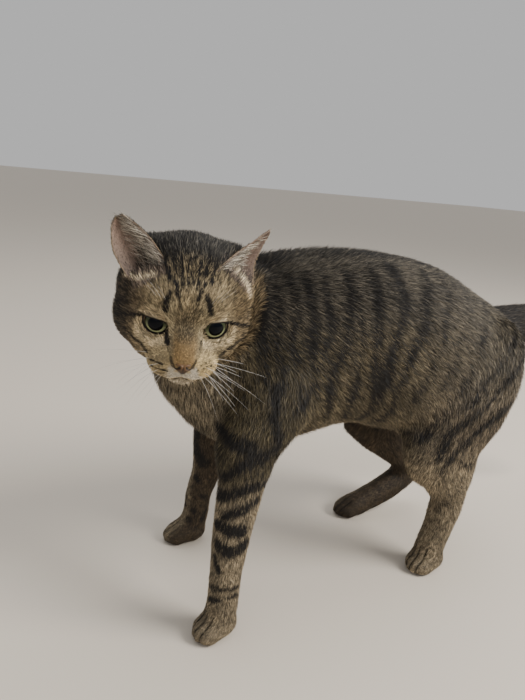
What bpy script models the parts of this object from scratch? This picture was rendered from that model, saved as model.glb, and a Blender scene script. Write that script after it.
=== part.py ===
"""A domestic short-haired cat, standing with its head turned to its left: a still, life-size model.

Metres, +Z up. The cat faces -Y and its left side is +X. It is modelled whole from lofted
tubes and ellipsoids, fused and smoothed, and then parted into named pieces with thin cuts.
"""

import math

import bmesh
import bpy
import numpy as np
from mathutils import Matrix, Vector

# ---------------------------------------------------------------- driving dimensions (m)
GAP = 0.0003                    # clearance between neighbouring pieces
VOXEL = 0.0024                  # size at which the lofts are fused
COARSE_TRIANGLES = 2100         # of the fused cat, for the trunk, neck, legs and tail
FINE_TRIANGLES = 5400           # of the fused cat, for the head and the paws

FORE_PAW_X, HIND_PAW_X = 0.0595, 0.0490      # half the distance between the feet
LEFT_FORE_PAW_Y, RIGHT_FORE_PAW_Y = -0.0100, 0.0080
LEFT_HIND_PAW_Y, RIGHT_HIND_PAW_Y = 0.1990, 0.1900

HEAD_AT = Vector((0.0418, -0.0336, 0.2325))  # middle of the eye openings
HEAD_TURN, HEAD_NOD, HEAD_TILT = 73.5, -14.0, 3.0   # degrees: to the left, up, over
EYE_SPACING, OPENING_SPACING = 0.0345, 0.0395      # the eyeballs' centres, the lids' openings
EYE_RADIUS = 0.0105

EYE_SET = 0.0085                # the eyeballs' centres lie this far behind the lids
EAR_HEIGHT, EAR_WIDTH, EAR_DEPTH, EAR_WALL = 0.0435, 0.030, 0.0135, 0.0024
EAR_FOOT = (0.0238, 0.0348, 0.0240)          # the left ear's; the right one mirrors it
EAR_TURNS = {1: (36.5, 45.3, 7.0), -1: (2.8, 34.0, 9.0)}   # degrees: out, over, back

TAIL_LENGTH = 0.27
TAIL_ROOT_RADIUS, TAIL_TIP_RADIUS = 0.0205, 0.0095

COLOURS = {
    "coat": (0.20, 0.165, 0.12),
    "ear": (0.22, 0.17, 0.14),
    "eye": (0.35, 0.42, 0.20),
    "nose": (0.30, 0.13, 0.08),
}


# ---------------------------------------------------------------- tools
def clear_scene():
    for old in list(bpy.data.objects):
        bpy.data.objects.remove(old)


def material(name, roughness=0.8):
    made = bpy.data.materials.get(name) or bpy.data.materials.new(name)
    made.use_nodes = True
    shader = made.node_tree.nodes["Principled BSDF"]
    shader.inputs["Base Color"].default_value = (*COLOURS[name], 1.0)
    shader.inputs["Roughness"].default_value = roughness
    return made


def object_from(name, verts, faces):
    mesh = bpy.data.meshes.new(name)
    mesh.from_pydata([tuple(v) for v in verts], [], [tuple(f) for f in faces])
    mesh.validate()
    made = bpy.data.objects.new(name, mesh)
    bpy.context.scene.collection.objects.link(made)
    return made


def eased(t):
    """0 up to 1, with a soft start and end."""
    t = np.clip(t, 0, 1)
    return t * t * (3 - 2 * t)


def smooth_rows(rows, per_span):
    """Catmull-Rom values between the rows, per_span steps to each span."""
    rows = np.array(rows, float)
    ext = np.vstack([2 * rows[0] - rows[1], rows, 2 * rows[-1] - rows[-2]])
    out = []
    for i in range(1, len(ext) - 2):
        for k in range(per_span):
            t = k / per_span
            a, b, c, d = ext[i - 1:i + 3]
            out.append(0.5 * ((2 * b) + (c - a) * t + (2 * a - 5 * b + 4 * c - d) * t * t
                              + (3 * b - a - 3 * c + d) * t ** 3))
    return np.array(out + [rows[-1]])


def loft(name, stations, side=(1, 0, 0), sides=20, per_span=4, square=2.0, level=False):
    """A closed tube through stations of (x, y, z, half width, half depth).

    Width lies along side and depth across it. square over 2 fills the section's corners.
    level keeps every section horizontal, whichever way the path runs.
    """
    rows = smooth_rows(stations, per_span)
    centres, half = rows[:, :3], np.abs(rows[:, 3:5])
    tangents = np.gradient(centres, axis=0)
    if level:
        tangents[:, :2] = 0
    tangents /= np.linalg.norm(tangents, axis=1)[:, None]
    side = np.array(side, float)
    across = side - (tangents @ side)[:, None] * tangents
    across /= np.linalg.norm(across, axis=1)[:, None]
    upward = np.cross(tangents, across)
    angle = np.linspace(0, 2 * math.pi, sides, endpoint=False)
    c = np.sign(np.cos(angle)) * np.abs(np.cos(angle)) ** (2 / square)
    s = np.sign(np.sin(angle)) * np.abs(np.sin(angle)) ** (2 / square)
    rings = (centres[:, None] + across[:, None] * (half[:, :1] * c)[:, :, None]
             + upward[:, None] * (half[:, 1:] * s)[:, :, None])
    cap = []
    for end, way in ((0, -1), (-1, 1)):          # a rounded cap on each end
        reach = 0.6 * half[end].mean() * way
        for grow, out in ((0.8, 0.5), (0.45, 0.85)):
            ring = centres[end] + (rings[end] - centres[end]) * grow + tangents[end] * reach * out
            cap.append((end, ring))
    order = [cap[1][1], cap[0][1], *rings, cap[2][1], cap[3][1]]
    verts = np.concatenate(order)
    n, count = sides, len(order)
    faces = []
    for r in range(count - 1):
        for k in range(n):
            a, b = r * n + k, r * n + (k + 1) % n
            faces.append((a, b, b + n, a + n))
    faces.append(tuple(reversed(range(n))))
    faces.append(tuple(range((count - 1) * n, count * n)))
    made = object_from(name, verts, faces)
    outward(made)
    return made


def ball(name, centre, radii, turn=(0, 0, 0), segments=24, rings=16):
    """An ellipsoid, turned by degrees about X, Y and Z."""
    mesh = bpy.data.meshes.new(name)
    shape = bmesh.new()
    bmesh.ops.create_uvsphere(shape, u_segments=segments, v_segments=rings, radius=1.0)
    spin = Matrix.Rotation(math.radians(turn[2]), 4, "Z") @ Matrix.Rotation(
        math.radians(turn[1]), 4, "Y") @ Matrix.Rotation(math.radians(turn[0]), 4, "X")
    place = Matrix.Translation(centre) @ spin @ Matrix.Diagonal((*radii, 1.0))
    bmesh.ops.transform(shape, matrix=place, verts=shape.verts)
    shape.to_mesh(mesh)
    shape.free()
    made = bpy.data.objects.new(name, mesh)
    bpy.context.scene.collection.objects.link(made)
    return made


def outward(obj):
    shape = bmesh.new()
    shape.from_mesh(obj.data)
    bmesh.ops.recalc_face_normals(shape, faces=shape.faces)
    shape.to_mesh(obj.data)
    shape.free()


def applied(obj):
    """The object with its modifiers applied to its mesh."""
    graph = bpy.context.evaluated_depsgraph_get()
    mesh = bpy.data.meshes.new_from_object(obj.evaluated_get(graph))
    old = obj.data
    obj.modifiers.clear()
    obj.data = mesh
    bpy.data.meshes.remove(old)
    return obj


def moved(obj, matrix):
    obj.data.transform(matrix)
    return obj


def joined(name, pieces):
    """One object that holds the pieces' meshes, which may overlap."""
    whole = bmesh.new()
    for piece in pieces:
        whole.from_mesh(piece.data)
        bpy.data.objects.remove(piece)
    mesh = bpy.data.meshes.new(name)
    whole.to_mesh(mesh)
    whole.free()
    made = bpy.data.objects.new(name, mesh)
    bpy.context.scene.collection.objects.link(made)
    return made


def cut(obj, cutter, operation="DIFFERENCE", keep=False):
    boolean = obj.modifiers.new("cut", "BOOLEAN")
    boolean.operation = operation
    boolean.object = cutter
    applied(obj)
    shape = bmesh.new()
    shape.from_mesh(obj.data)
    bmesh.ops.triangulate(shape, faces=shape.faces)
    shape.to_mesh(obj.data)
    shape.free()
    if not keep:
        bpy.data.objects.remove(cutter)
    return obj


# ---------------------------------------------------------------- the body
def trunk():
    """Chest to rump. Rows are: y, top, bottom, half width."""
    profile = (
        (-0.016, 0.214, 0.156, 0.024),    # point of the chest
        (0.002, 0.243, 0.137, 0.041),
        (0.026, 0.264, 0.127, 0.054),
        (0.055, 0.275, 0.129, 0.058),     # withers and sternum
        (0.090, 0.279, 0.137, 0.060),
        (0.125, 0.280, 0.138, 0.064),     # top of the arched back
        (0.160, 0.276, 0.129, 0.066),     # belly
        (0.195, 0.266, 0.123, 0.063),
        (0.230, 0.2525, 0.131, 0.059),    # hips
        (0.262, 0.238, 0.145, 0.051),
        (0.288, 0.221, 0.160, 0.036),     # rump
    )
    stations = [(0, y, (top + low) / 2, wide, (top - low) / 2) for y, top, low, wide in profile]
    return loft("trunk", stations, sides=28, square=2.25)


def throat_and_neck():
    """The neck rises from between the shoulders and bends to the left, under the head."""
    neck = ((0.002, 0.060, 0.214, 0.050, 0.052),
            (-0.002, 0.032, 0.217, 0.048, 0.048),
            (-0.008, 0.006, 0.221, 0.044, 0.044),
            (-0.010, -0.014, 0.228, 0.040, 0.040))
    throat = ((0.004, 0.020, 0.154, 0.034, 0.028),
              (0.004, 0.006, 0.172, 0.038, 0.033),
              (0.003, -0.006, 0.192, 0.037, 0.036),
              (0.002, -0.014, 0.210, 0.034, 0.034))
    return [loft("neck", neck), loft("throat", throat)]


def fore_leg(way, shoulder_y, elbow_y, middle_y, wrist_y, paw_y):
    """Shoulder to wrist. way is 1 on the left and -1 on the right."""
    x = FORE_PAW_X
    shoulder = ((way * 0.036, shoulder_y + 0.014, 0.212, 0.020, 0.030),
                (way * 0.043, shoulder_y, 0.178, 0.021, 0.033),
                (way * 0.047, elbow_y + 0.002, 0.146, 0.019, 0.026),
                (way * 0.050, elbow_y - 0.001, 0.124, 0.0165, 0.0205))
    fore_arm = ((way * 0.049, elbow_y + 0.001, 0.138, 0.0165, 0.0205),
                (way * 0.052, elbow_y - 0.004, 0.112, 0.0155, 0.0175),
                (way * 0.056, middle_y, 0.074, 0.0135, 0.0142),
                (way * (x - 0.001), wrist_y, 0.046, 0.0120, 0.0122),
                (way * x, wrist_y - 0.001, 0.026, 0.0120, 0.0122),
                (way * x, paw_y + 0.007, 0.013, 0.0118, 0.0115))
    return [loft("shoulder", shoulder), loft("forearm", fore_arm, sides=16)]


def paw(x, y, turn, wide, long, high):
    """A foot with four toes in an arc. y is the middle of the sole; the toes point along -Y."""
    place = Matrix.Translation((x, y, 0)) @ Matrix.Rotation(math.radians(turn), 4, "Z")
    pieces = [ball("pad", (0, 0.004, high * 0.50), (wide * 0.49, long * 0.48, high * 0.56))]
    for place_along in (-1.5, -0.5, 0.5, 1.5):
        inner = abs(place_along) < 1
        toe_x = place_along * wide * 0.235
        toe_y = -long * (0.36 if inner else 0.22)
        size = (wide * 0.160, long * 0.25, high * (0.37 if inner else 0.34))
        pieces.append(ball("toe", (toe_x, toe_y, high * 0.30), size, (14, 0, -7 * place_along)))
    return [moved(piece, place) for piece in pieces]


def hind_leg(way, stations_thigh, stations_shank, stations_foot):
    flip = np.array([way, 1, 1, 1, 1])
    return [loft("thigh", np.array(stations_thigh) * flip, sides=22),
            loft("shank", np.array(stations_shank) * flip, sides=16),
            loft("foot", np.array(stations_foot) * flip, sides=16)]


def left_hind_leg():
    """The planted leg: its foot stands steeply on the toes."""
    return hind_leg(
        1,
        ((0.030, 0.250, 0.214, 0.026, 0.042),
         (0.036, 0.236, 0.186, 0.030, 0.052),
         (0.041, 0.218, 0.158, 0.028, 0.054),
         (0.044, 0.205, 0.134, 0.023, 0.048)),
        ((0.045, 0.205, 0.138, 0.021, 0.046),
         (0.047, 0.206, 0.116, 0.0185, 0.0440),
         (0.048, 0.213, 0.096, 0.0155, 0.0310),
         (0.049, 0.2175, 0.078, 0.0138, 0.0215)),
        ((0.049, 0.2190, 0.086, 0.0125, 0.0180),
         (0.049, 0.2175, 0.064, 0.0130, 0.0170),
         (0.049, 0.2130, 0.042, 0.0125, 0.0145),
         (0.049, 0.2070, 0.023, 0.0125, 0.0135),
         (0.049, 0.2040, 0.013, 0.0120, 0.0120)))


def right_hind_leg():
    """The trailing leg: more bent, with its hock low behind the foot."""
    return hind_leg(
        -1,
        ((0.030, 0.250, 0.212, 0.026, 0.042),
         (0.036, 0.232, 0.180, 0.030, 0.050),
         (0.041, 0.208, 0.148, 0.028, 0.046),
         (0.044, 0.188, 0.118, 0.023, 0.036)),
        ((0.044, 0.192, 0.122, 0.020, 0.036),
         (0.046, 0.214, 0.094, 0.0180, 0.0280),
         (0.048, 0.240, 0.068, 0.0150, 0.0200),
         (0.049, 0.2570, 0.050, 0.0135, 0.0155)),
        ((0.049, 0.2620, 0.044, 0.0125, 0.0140),
         (0.049, 0.2500, 0.034, 0.0130, 0.0145),
         (0.049, 0.2330, 0.0240, 0.0130, 0.0145),
         (0.049, 0.2120, 0.0155, 0.0125, 0.0135),
         (0.049, 0.1980, 0.012, 0.0120, 0.0115)))


def tail():
    """Carried level behind the rump, then hanging in an easy curve with its tip turned up."""
    steps = 26
    t = np.linspace(0, 1, steps)
    rise = np.radians(3 - 68 * eased((t - 0.22) / 0.40) + 52 * eased((t - 0.68) / 0.32))
    swing = np.radians(-12 * np.sin(math.pi * t))
    step = (TAIL_LENGTH + 0.02) / steps
    moves = np.stack([np.sin(swing) * np.cos(rise), np.cos(swing) * np.cos(rise), np.sin(rise)], axis=1) * step
    points = np.array((0.0, 0.270, 0.211)) + np.vstack([np.zeros(3), np.cumsum(moves, axis=0)[:-1]])
    radius = TAIL_ROOT_RADIUS + (TAIL_TIP_RADIUS - TAIL_ROOT_RADIUS) * eased((t - 0.10) / 0.90) ** 0.8
    return loft("tail", np.column_stack([points, radius, radius]), sides=14, per_span=1)


# ---------------------------------------------------------------- the head
def head_place():
    """Head axes: x to its left, y to its back, z up, with the origin between the eyes."""
    return (Matrix.Translation(HEAD_AT)
            @ Matrix.Rotation(math.radians(HEAD_TURN), 4, "Z")
            @ Matrix.Rotation(math.radians(-HEAD_NOD), 4, "X")
            @ Matrix.Rotation(math.radians(HEAD_TILT), 4, "Y"))


def head_forms():
    """Skull, cheeks, brow, muzzle and chin, in head axes."""
    forms = [
        ball("cranium", (0, 0.038, 0.011), (0.0410, 0.0360, 0.0335), segments=32, rings=20),
        ball("crown", (0, 0.037, 0.023), (0.0340, 0.0300, 0.0245)),
        ball("brow", (0, 0.013, 0.010), (0.0300, 0.0200, 0.0200)),
        ball("jaw", (0, 0.018, -0.022), (0.0270, 0.0300, 0.0160), (-14, 0, 0)),
        ball("muzzle", (0, -0.003, -0.0205), (0.0175, 0.0165, 0.0120), (-12, 0, 0)),
        ball("chin", (0, -0.0035, -0.0330), (0.0090, 0.0090, 0.0070)),
        loft("bridge", ((0, 0.014, 0.004, 0.0150, 0.0115), (0, 0.001, -0.001, 0.0105, 0.0090),
                        (0, -0.009, -0.0085, 0.0078, 0.0072), (0, -0.0145, -0.0155, 0.0066, 0.0058)),
             sides=14),
    ]
    for way in (-1, 1):
        forms += [
            ball("cheek", (way * 0.0260 + 0.0010, 0.029, -0.007), (0.0225, 0.0250, 0.0235), (0, way * 12, way * 14)),
            ball("face", (way * 0.0190, 0.013, -0.012), (0.0170, 0.0180, 0.0190), (0, way * 10, way * 20)),
            ball("temple", (way * 0.0270, 0.030, 0.012), (0.0190, 0.0230, 0.0200)),
            ball("ear_root", (way * 0.0245, 0.039, 0.0275), (0.0180, 0.0165, 0.0160)),
            ball("whisker_pad", (way * 0.0102, -0.0070, -0.0235), (0.0122, 0.0102, 0.0092), (-10, 0, way * 18)),
        ]
    return forms


def ear(way):
    """A hollow pointed ear: a curled sheet, thick at its foot, whose mouth faces -Y."""
    rows, columns = 7, 10
    t, a = np.meshgrid(np.linspace(0, 1, rows + 1), np.linspace(-1.75, 1.75, columns + 1), indexing="ij")
    half = EAR_WIDTH / 2 * (1 - t ** 1.8) ** 0.75 + 0.0024 * t
    deep = EAR_DEPTH * (1 - t) ** 0.75 + 0.0020
    wall = EAR_WALL * (1 - 0.45 * t)
    lean = way * 0.004 * np.sin(math.pi * t)
    outer = np.stack([half * np.sin(a) + lean, deep * np.cos(a), EAR_HEIGHT * t], axis=-1)
    inner = np.stack([(half - wall) * np.sin(a) + lean, (deep - wall) * np.cos(a), EAR_HEIGHT * t], axis=-1)
    verts = np.concatenate([outer.reshape(-1, 3), inner.reshape(-1, 3)])
    n, count = columns + 1, (rows + 1) * (columns + 1)
    faces = []
    for i in range(rows):
        for k in range(columns):
            v = i * n + k
            faces.append((v, v + 1, v + 1 + n, v + n))
            faces.append((v + count, v + n + count, v + 1 + n + count, v + 1 + count))
        for v in (i * n, i * n + columns):
            faces.append((v, v + n, v + n + count, v + count))
    for row in (0, rows):
        for k in range(columns):
            v = row * n + k
            faces.append((v, v + 1, v + 1 + count, v + count))
    made = object_from("ear", verts, faces)
    outward(made)
    return made


def ear_place(way):
    """The ears stand wide on the crown. The left one is turned out and laid over further."""
    turn, splay, lean = EAR_TURNS[way]
    foot = Vector((way * EAR_FOOT[0], *EAR_FOOT[1:]))
    return (head_place() @ Matrix.Translation(foot)
            @ Matrix.Rotation(math.radians(way * turn), 4, "Z")
            @ Matrix.Rotation(math.radians(way * splay), 4, "Y")
            @ Matrix.Rotation(math.radians(lean), 4, "X"))


# ---------------------------------------------------------------- fusing and parting
def fused(name, pieces, voxel, triangles):
    """The pieces as one smooth closed surface of about so many triangles."""
    whole = joined(name, pieces)
    remesh = whole.modifiers.new("fuse", "REMESH")
    remesh.mode = "VOXEL"
    remesh.voxel_size = voxel
    soften = whole.modifiers.new("soften", "SMOOTH")
    soften.factor = 0.5
    soften.iterations = 6
    applied(whole)
    flatten = copy_of(whole, name + "_coarse")
    made = []
    for obj, wanted in ((whole, triangles[0]), (flatten, triangles[1])):
        decimate = obj.modifiers.new("thin", "DECIMATE")
        decimate.ratio = wanted / (2 * len(obj.data.polygons))
        applied(obj)
        made.append(obj)
    return made


def copy_of(obj, name):
    made = bpy.data.objects.new(name, obj.data.copy())
    bpy.context.scene.collection.objects.link(made)
    return made


def grown(obj, by):
    """A copy whose surface lies outside the object's by so much."""
    made = copy_of(obj, obj.name + "_grown")
    mesh = made.data
    mesh.update()
    count = len(mesh.vertices)
    places, normals = np.empty(count * 3), np.empty(count * 3)
    mesh.vertices.foreach_get("co", places)
    mesh.vertices.foreach_get("normal", normals)
    mesh.vertices.foreach_set("co", places + normals * by)
    mesh.update()
    return made


def box(name, centre, size, turn=(0, 0, 0)):
    half = np.array(size) / 2
    corners = np.array([(x, y, z) for x in (-1, 1) for y in (-1, 1) for z in (-1, 1)]) * half
    spin = Matrix.Rotation(math.radians(turn[2]), 4, "Z") @ Matrix.Rotation(math.radians(turn[0]), 4, "X")
    faces = ((0, 1, 3, 2), (4, 6, 7, 5), (0, 4, 5, 1), (2, 3, 7, 6), (0, 2, 6, 4), (1, 5, 7, 3))
    made = object_from(name, corners, faces)
    moved(made, Matrix.Translation(centre) @ spin)
    outward(made)
    return made


def largest(obj):
    """The object with every island but its biggest one removed."""
    shape = bmesh.new()
    shape.from_mesh(obj.data)
    left, islands = set(shape.verts), []
    while left:
        island, edge = set(), {left.pop()}
        while edge:
            island |= edge
            edge = {e.other_vert(v) for v in edge for e in v.link_edges} - island
        left -= island
        islands.append(island)
    islands.sort(key=len)
    for island in islands[:-1]:
        bmesh.ops.delete(shape, geom=list(island), context="VERTS")
    shape.to_mesh(obj.data)
    shape.free()
    return obj


def part_off(stock, region):
    """The stock inside the region, and the rest of it, with GAP between the two."""
    piece = largest(cut(copy_of(stock, region.name), region, "INTERSECT", keep=True))
    rest = largest(cut(stock, grown(region, GAP)))
    return piece, rest


def dropped(*objects):
    for old in objects:
        bpy.data.objects.remove(old)


# ---------------------------------------------------------------- the regions the cat is parted by
def head_region():
    region = ball("head", (0, 0.012, 0.014), (0.060, 0.068, 0.064), segments=18, rings=12)
    return moved(region, head_place())


def neck_region():
    """All that lies ahead of a plane from the withers to the point of the chest."""
    return box("neck", (0, -0.098, 0.315), (0.40, 0.30, 0.40), (-36.9, 0, 0))


def fore_leg_region(way):
    back = 0.0 if way > 0 else 0.013
    stations = ((0.056, 0.040 + back, 0.205, 0.024, 0.026), (0.056, 0.033 + back, 0.170, 0.026, 0.036),
                (0.056, 0.022 + back, 0.135, 0.030, 0.038), (0.056, 0.012 + back, 0.100, 0.034, 0.040),
                (0.058, 0.002 + back, 0.050, 0.035, 0.040), (0.060, 0.000 + back, -0.015, 0.035, 0.045))
    return loft("foreleg", np.array(stations) * (way, 1, 1, 1, 1), sides=14, per_span=2, level=True)


def hind_leg_region(way):
    back = 0.0 if way > 0 else 0.014
    stations = ((0.052, 0.240, 0.205, 0.024, 0.032), (0.052, 0.222, 0.165, 0.027, 0.056),
                (0.052, 0.206, 0.130, 0.030, 0.064), (0.052, 0.206 + back / 2, 0.100, 0.034, 0.070),
                (0.052, 0.213 + back, 0.050, 0.034, 0.074), (0.052, 0.213 + back, -0.015, 0.034, 0.074))
    return loft("thigh", np.array(stations) * (way, 1, 1, 1, 1), sides=14, per_span=2, level=True)


# ---------------------------------------------------------------- assembly
def body_pieces():
    left = {"shoulder_y": 0.034, "elbow_y": 0.014, "middle_y": 0.0035, "wrist_y": 0.001, "paw_y": LEFT_FORE_PAW_Y}
    right = {"shoulder_y": 0.046, "elbow_y": 0.032, "middle_y": 0.0275, "wrist_y": 0.021,
             "paw_y": RIGHT_FORE_PAW_Y}
    return [
        trunk(), *throat_and_neck(), tail(),
        *fore_leg(1, **left), *fore_leg(-1, **right), *left_hind_leg(), *right_hind_leg(),
        *paw(FORE_PAW_X + 0.001, LEFT_FORE_PAW_Y + 0.004, 8, 0.0265, 0.031, 0.020),
        *paw(-FORE_PAW_X, RIGHT_FORE_PAW_Y + 0.002, -6, 0.0280, 0.035, 0.021),
        *paw(HIND_PAW_X + 0.001, LEFT_HIND_PAW_Y + 0.004, 6, 0.0275, 0.034, 0.020),
        *paw(-HIND_PAW_X, RIGHT_HIND_PAW_Y, -5, 0.0280, 0.036, 0.020),
        *[moved(form, head_place()) for form in head_forms()],
    ]


def make_cat():
    """Every finished piece by name, in the paws' own frame."""
    fine, coarse = fused("cat", body_pieces(), VOXEL, (FINE_TRIANGLES, COARSE_TRIANGLES))
    for stock in (fine, coarse):
        cut(stock, box("floor", (0, 0.15, -0.05), (0.6, 0.8, 0.10)))
    made = {}

    region = head_region()
    made["head"] = largest(cut(copy_of(fine, "head"), region, "INTERSECT", keep=True))
    coarse = largest(cut(coarse, grown(region, GAP)))
    dropped(region)

    tail_box = box("tail", (0, 0.436, 0.278), (0.20, 0.30, 0.60), (26, 0, 0))
    made["tail"], coarse = part_off(coarse, tail_box)
    dropped(tail_box)

    for side, way in (("left", 1), ("right", -1)):
        region = fore_leg_region(way)
        leg, coarse = part_off(coarse, region)
        sharp = largest(cut(copy_of(fine, "foreleg"), region, "INTERSECT", keep=True))
        low = box("paw", (way * FORE_PAW_X, 0.0, -0.006), (0.10, 0.20, 0.068), (10, 0, 0))
        made["forepaw_" + side] = largest(cut(sharp, low, "INTERSECT", keep=True))
        made["foreleg_" + side] = largest(cut(leg, grown(low, GAP * 2)))
        dropped(region, low)

        region = hind_leg_region(way)
        leg, coarse = part_off(coarse, region)
        sharp = largest(cut(copy_of(fine, "hindleg"), region, "INTERSECT", keep=True))
        knee = box("knee", (way * HIND_PAW_X, 0.21, 0.0), (0.12, 0.34, 0.222), (7, 0, 0))
        hock = (box("hock", (way * HIND_PAW_X, 0.18, -0.03), (0.12, 0.34, 0.212), (-12, 0, 0)) if way > 0
                else box("hock", (way * HIND_PAW_X, 0.1475, -0.03), (0.12, 0.20, 0.172), (0, 0, 0)))
        made["hindfoot_" + side] = largest(cut(sharp, hock, "INTERSECT", keep=True))
        leg = largest(cut(leg, grown(hock, GAP * 2)))
        made["shank_" + side] = largest(cut(copy_of(leg, "shank"), knee, "INTERSECT", keep=True))
        made["thigh_" + side] = largest(cut(leg, grown(knee, GAP * 2)))
        dropped(region, knee, hock)

    plane = neck_region()
    made["neck"], made["trunk"] = part_off(coarse, plane)
    dropped(plane, fine)

    head = made["head"]
    for side, way in (("left", 1), ("right", -1)):
        shell = cut(moved(ear(way), ear_place(way)), grown(head, GAP))
        made["ear_" + side] = largest(cut(shell, grown(made["neck"], GAP)))
    for side, way in (("left", 1), ("right", -1)):
        middle = (way * EYE_SPACING / 2, EYE_SET, 0)
        opening = ball("opening", (way * OPENING_SPACING / 2, -0.0025, 0.0), (0.0098, 0.0085, 0.0084),
                       (0, 0, way * 18), 14, 9)
        socket = ball("socket", middle, (EYE_RADIUS + GAP,) * 3, segments=16, rings=11)
        made["eye_" + side] = moved(ball("eye", middle, (EYE_RADIUS,) * 3, segments=16, rings=11), head_place())
        cut(head, moved(opening, head_place()))
        cut(head, moved(socket, head_place()))
    nose = ball("nose", (0, -0.0182, -0.0195), (0.0072, 0.0046, 0.0050), (18, 0, 0), segments=14, rings=10)
    made["nose"] = moved(nose, head_place())
    cut(head, grown(nose, GAP))
    largest(head)
    return made


def finish(made):
    """Names, materials, and the origin under the middle of the whole cat's bounding box."""
    everything = np.concatenate([np.array([v.co for v in piece.data.vertices]) for piece in made.values()])
    low, high = everything.min(axis=0), everything.max(axis=0)
    to_middle = Matrix.Translation((-(low[0] + high[0]) / 2, -(low[1] + high[1]) / 2, 0))
    slots = {"ear": "ear", "eye": "eye", "nose": "nose"}
    for name, piece in made.items():
        piece.data.transform(to_middle)
        piece.name = name
        piece.data.materials.clear()
        piece.data.materials.append(material(slots.get(name.split("_")[0], "coat")))


clear_scene()
finish(make_cat())
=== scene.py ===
import math

import bmesh
import bpy
import numpy as np
from mathutils import Matrix, Vector


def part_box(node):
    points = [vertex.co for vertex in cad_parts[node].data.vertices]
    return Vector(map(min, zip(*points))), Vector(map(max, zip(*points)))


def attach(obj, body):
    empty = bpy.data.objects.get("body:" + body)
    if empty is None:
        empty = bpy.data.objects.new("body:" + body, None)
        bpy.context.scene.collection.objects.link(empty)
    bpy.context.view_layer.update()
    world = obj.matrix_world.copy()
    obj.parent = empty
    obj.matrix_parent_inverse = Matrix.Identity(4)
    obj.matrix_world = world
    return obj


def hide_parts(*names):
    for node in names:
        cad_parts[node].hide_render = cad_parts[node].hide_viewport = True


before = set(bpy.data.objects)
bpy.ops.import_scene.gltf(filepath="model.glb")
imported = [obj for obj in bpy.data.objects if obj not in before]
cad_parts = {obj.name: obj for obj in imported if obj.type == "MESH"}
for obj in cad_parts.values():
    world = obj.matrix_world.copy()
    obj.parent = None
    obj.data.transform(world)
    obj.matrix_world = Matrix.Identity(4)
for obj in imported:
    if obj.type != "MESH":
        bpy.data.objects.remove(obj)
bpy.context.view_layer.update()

# A tabby cat that stands with its head turned to its left. Shapes are worked out in the cat's own
# axes: x to its left, y to its back, z up from the floor, from a point between the fore paws.
headPose = {"at": (0.0418, -0.0336, 0.2325), "turn": 73.5, "nod": 14.0, "tilt": 3.0}
eyeball = {"spacing": 0.0345, "set": 0.0085, "radius": 0.0105}


def mm(values):
    # millimetres as metres
    return np.asarray(values, float) / 1000


def rotation(turn):
    # turned by degrees about X, then Y, then Z
    x, y, z = (math.radians(a) for a in turn)
    spin = Matrix.Rotation(z, 3, "Z") @ Matrix.Rotation(y, 3, "Y") @ Matrix.Rotation(x, 3, "X")
    return np.array(spin)


headSpin = np.array(Matrix.Rotation(math.radians(headPose["turn"]), 3, "Z")
                    @ Matrix.Rotation(math.radians(headPose["nod"]), 3, "X")
                    @ Matrix.Rotation(math.radians(headPose["tilt"]), 3, "Y"))
headAt = np.array(headPose["at"])


def toHead(points):
    # head axes: x to its left, y to its back, z up, from a point between the eyes
    return (points - headAt) @ headSpin


def fromHead(points):
    # head axes turned and moved to the cat's own
    return points @ headSpin.T + headAt


def eyeMiddle(way):
    # an eyeball's middle, in head axes; way is 1 for the left side and -1 for the right
    return np.array((way * eyeball["spacing"] / 2, eyeball["set"], 0.0))


# the cat's axes are the frame's, moved: the left eyeball says by how much
eyeLow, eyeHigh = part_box("eye_left")
toFrame = np.array((eyeLow + eyeHigh) / 2) - fromHead(eyeMiddle(1))


def ease(low, high, value):
    # 0 at low up to 1 at high, with a soft start and end
    t = np.clip((value - low) / (high - low), 0.0, 1.0)
    return t * t * (3 - 2 * t)


def hill(value, centre, width):
    # a bell: 1 at the centre, about a third at one width from it
    return np.exp(-((value - centre) / width) ** 2)


def unit(vectors):
    # the same directions with a length of 1
    return vectors / np.maximum(np.linalg.norm(vectors, axis=-1, keepdims=True), 1e-12)


def waves(points, size, seed, count=22):
    # smooth noise: a sum of plane waves in random directions, about -1 to 1, bumps about size across
    rng = np.random.default_rng(seed)
    ways = unit(rng.normal(size=(count, 3))) * (math.pi / size) * rng.uniform(0.55, 1.5, (count, 1))
    total = np.cos(points @ ways.T + rng.uniform(0, 2 * math.pi, count)).sum(axis=1)
    return total / math.sqrt(count / 2) / 1.6


def waveShift(points, size, seed):
    # three such noises, as a move of each point
    return np.stack([waves(points, size, seed + k) for k in range(3)], axis=1)


def linear(colour):
    # a display colour of 0 to 255 as light
    c = np.asarray(colour, float) / 255
    return np.where(c <= 0.04045, c / 12.92, ((c + 0.055) / 1.055) ** 2.4)


def mix(a, b, t):
    # a where t is 0 and b where it is 1; for rows of three numbers, t may be one number for each row
    t = np.asarray(t)
    if t.ndim == 1 and 3 in (np.shape(a)[-1:] + np.shape(b)[-1:]):
        t = t[:, None]
    return a + (b - a) * t


def nearPath(points, path):
    # distance to a bent line, share of its length at the nearest place, and the line's direction there
    path = np.asarray(path, float)
    steps = np.diff(path, axis=0)
    lengths = np.linalg.norm(steps, axis=1)
    starts = np.concatenate([[0], np.cumsum(lengths)[:-1]])
    best = np.full(len(points), np.inf)
    along = np.zeros(len(points))
    way = np.zeros((len(points), points.shape[1]))
    for a, step, length, start in zip(path[:-1], steps, lengths, starts):
        t = np.clip((points - a) @ step / length ** 2, 0, 1)
        far = np.linalg.norm(points - a - t[:, None] * step, axis=1)
        closer = far < best
        best = np.where(closer, far, best)
        along = np.where(closer, start + t * length, along)
        way[closer] = step / length
    return best, along / lengths.sum(), way


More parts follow.
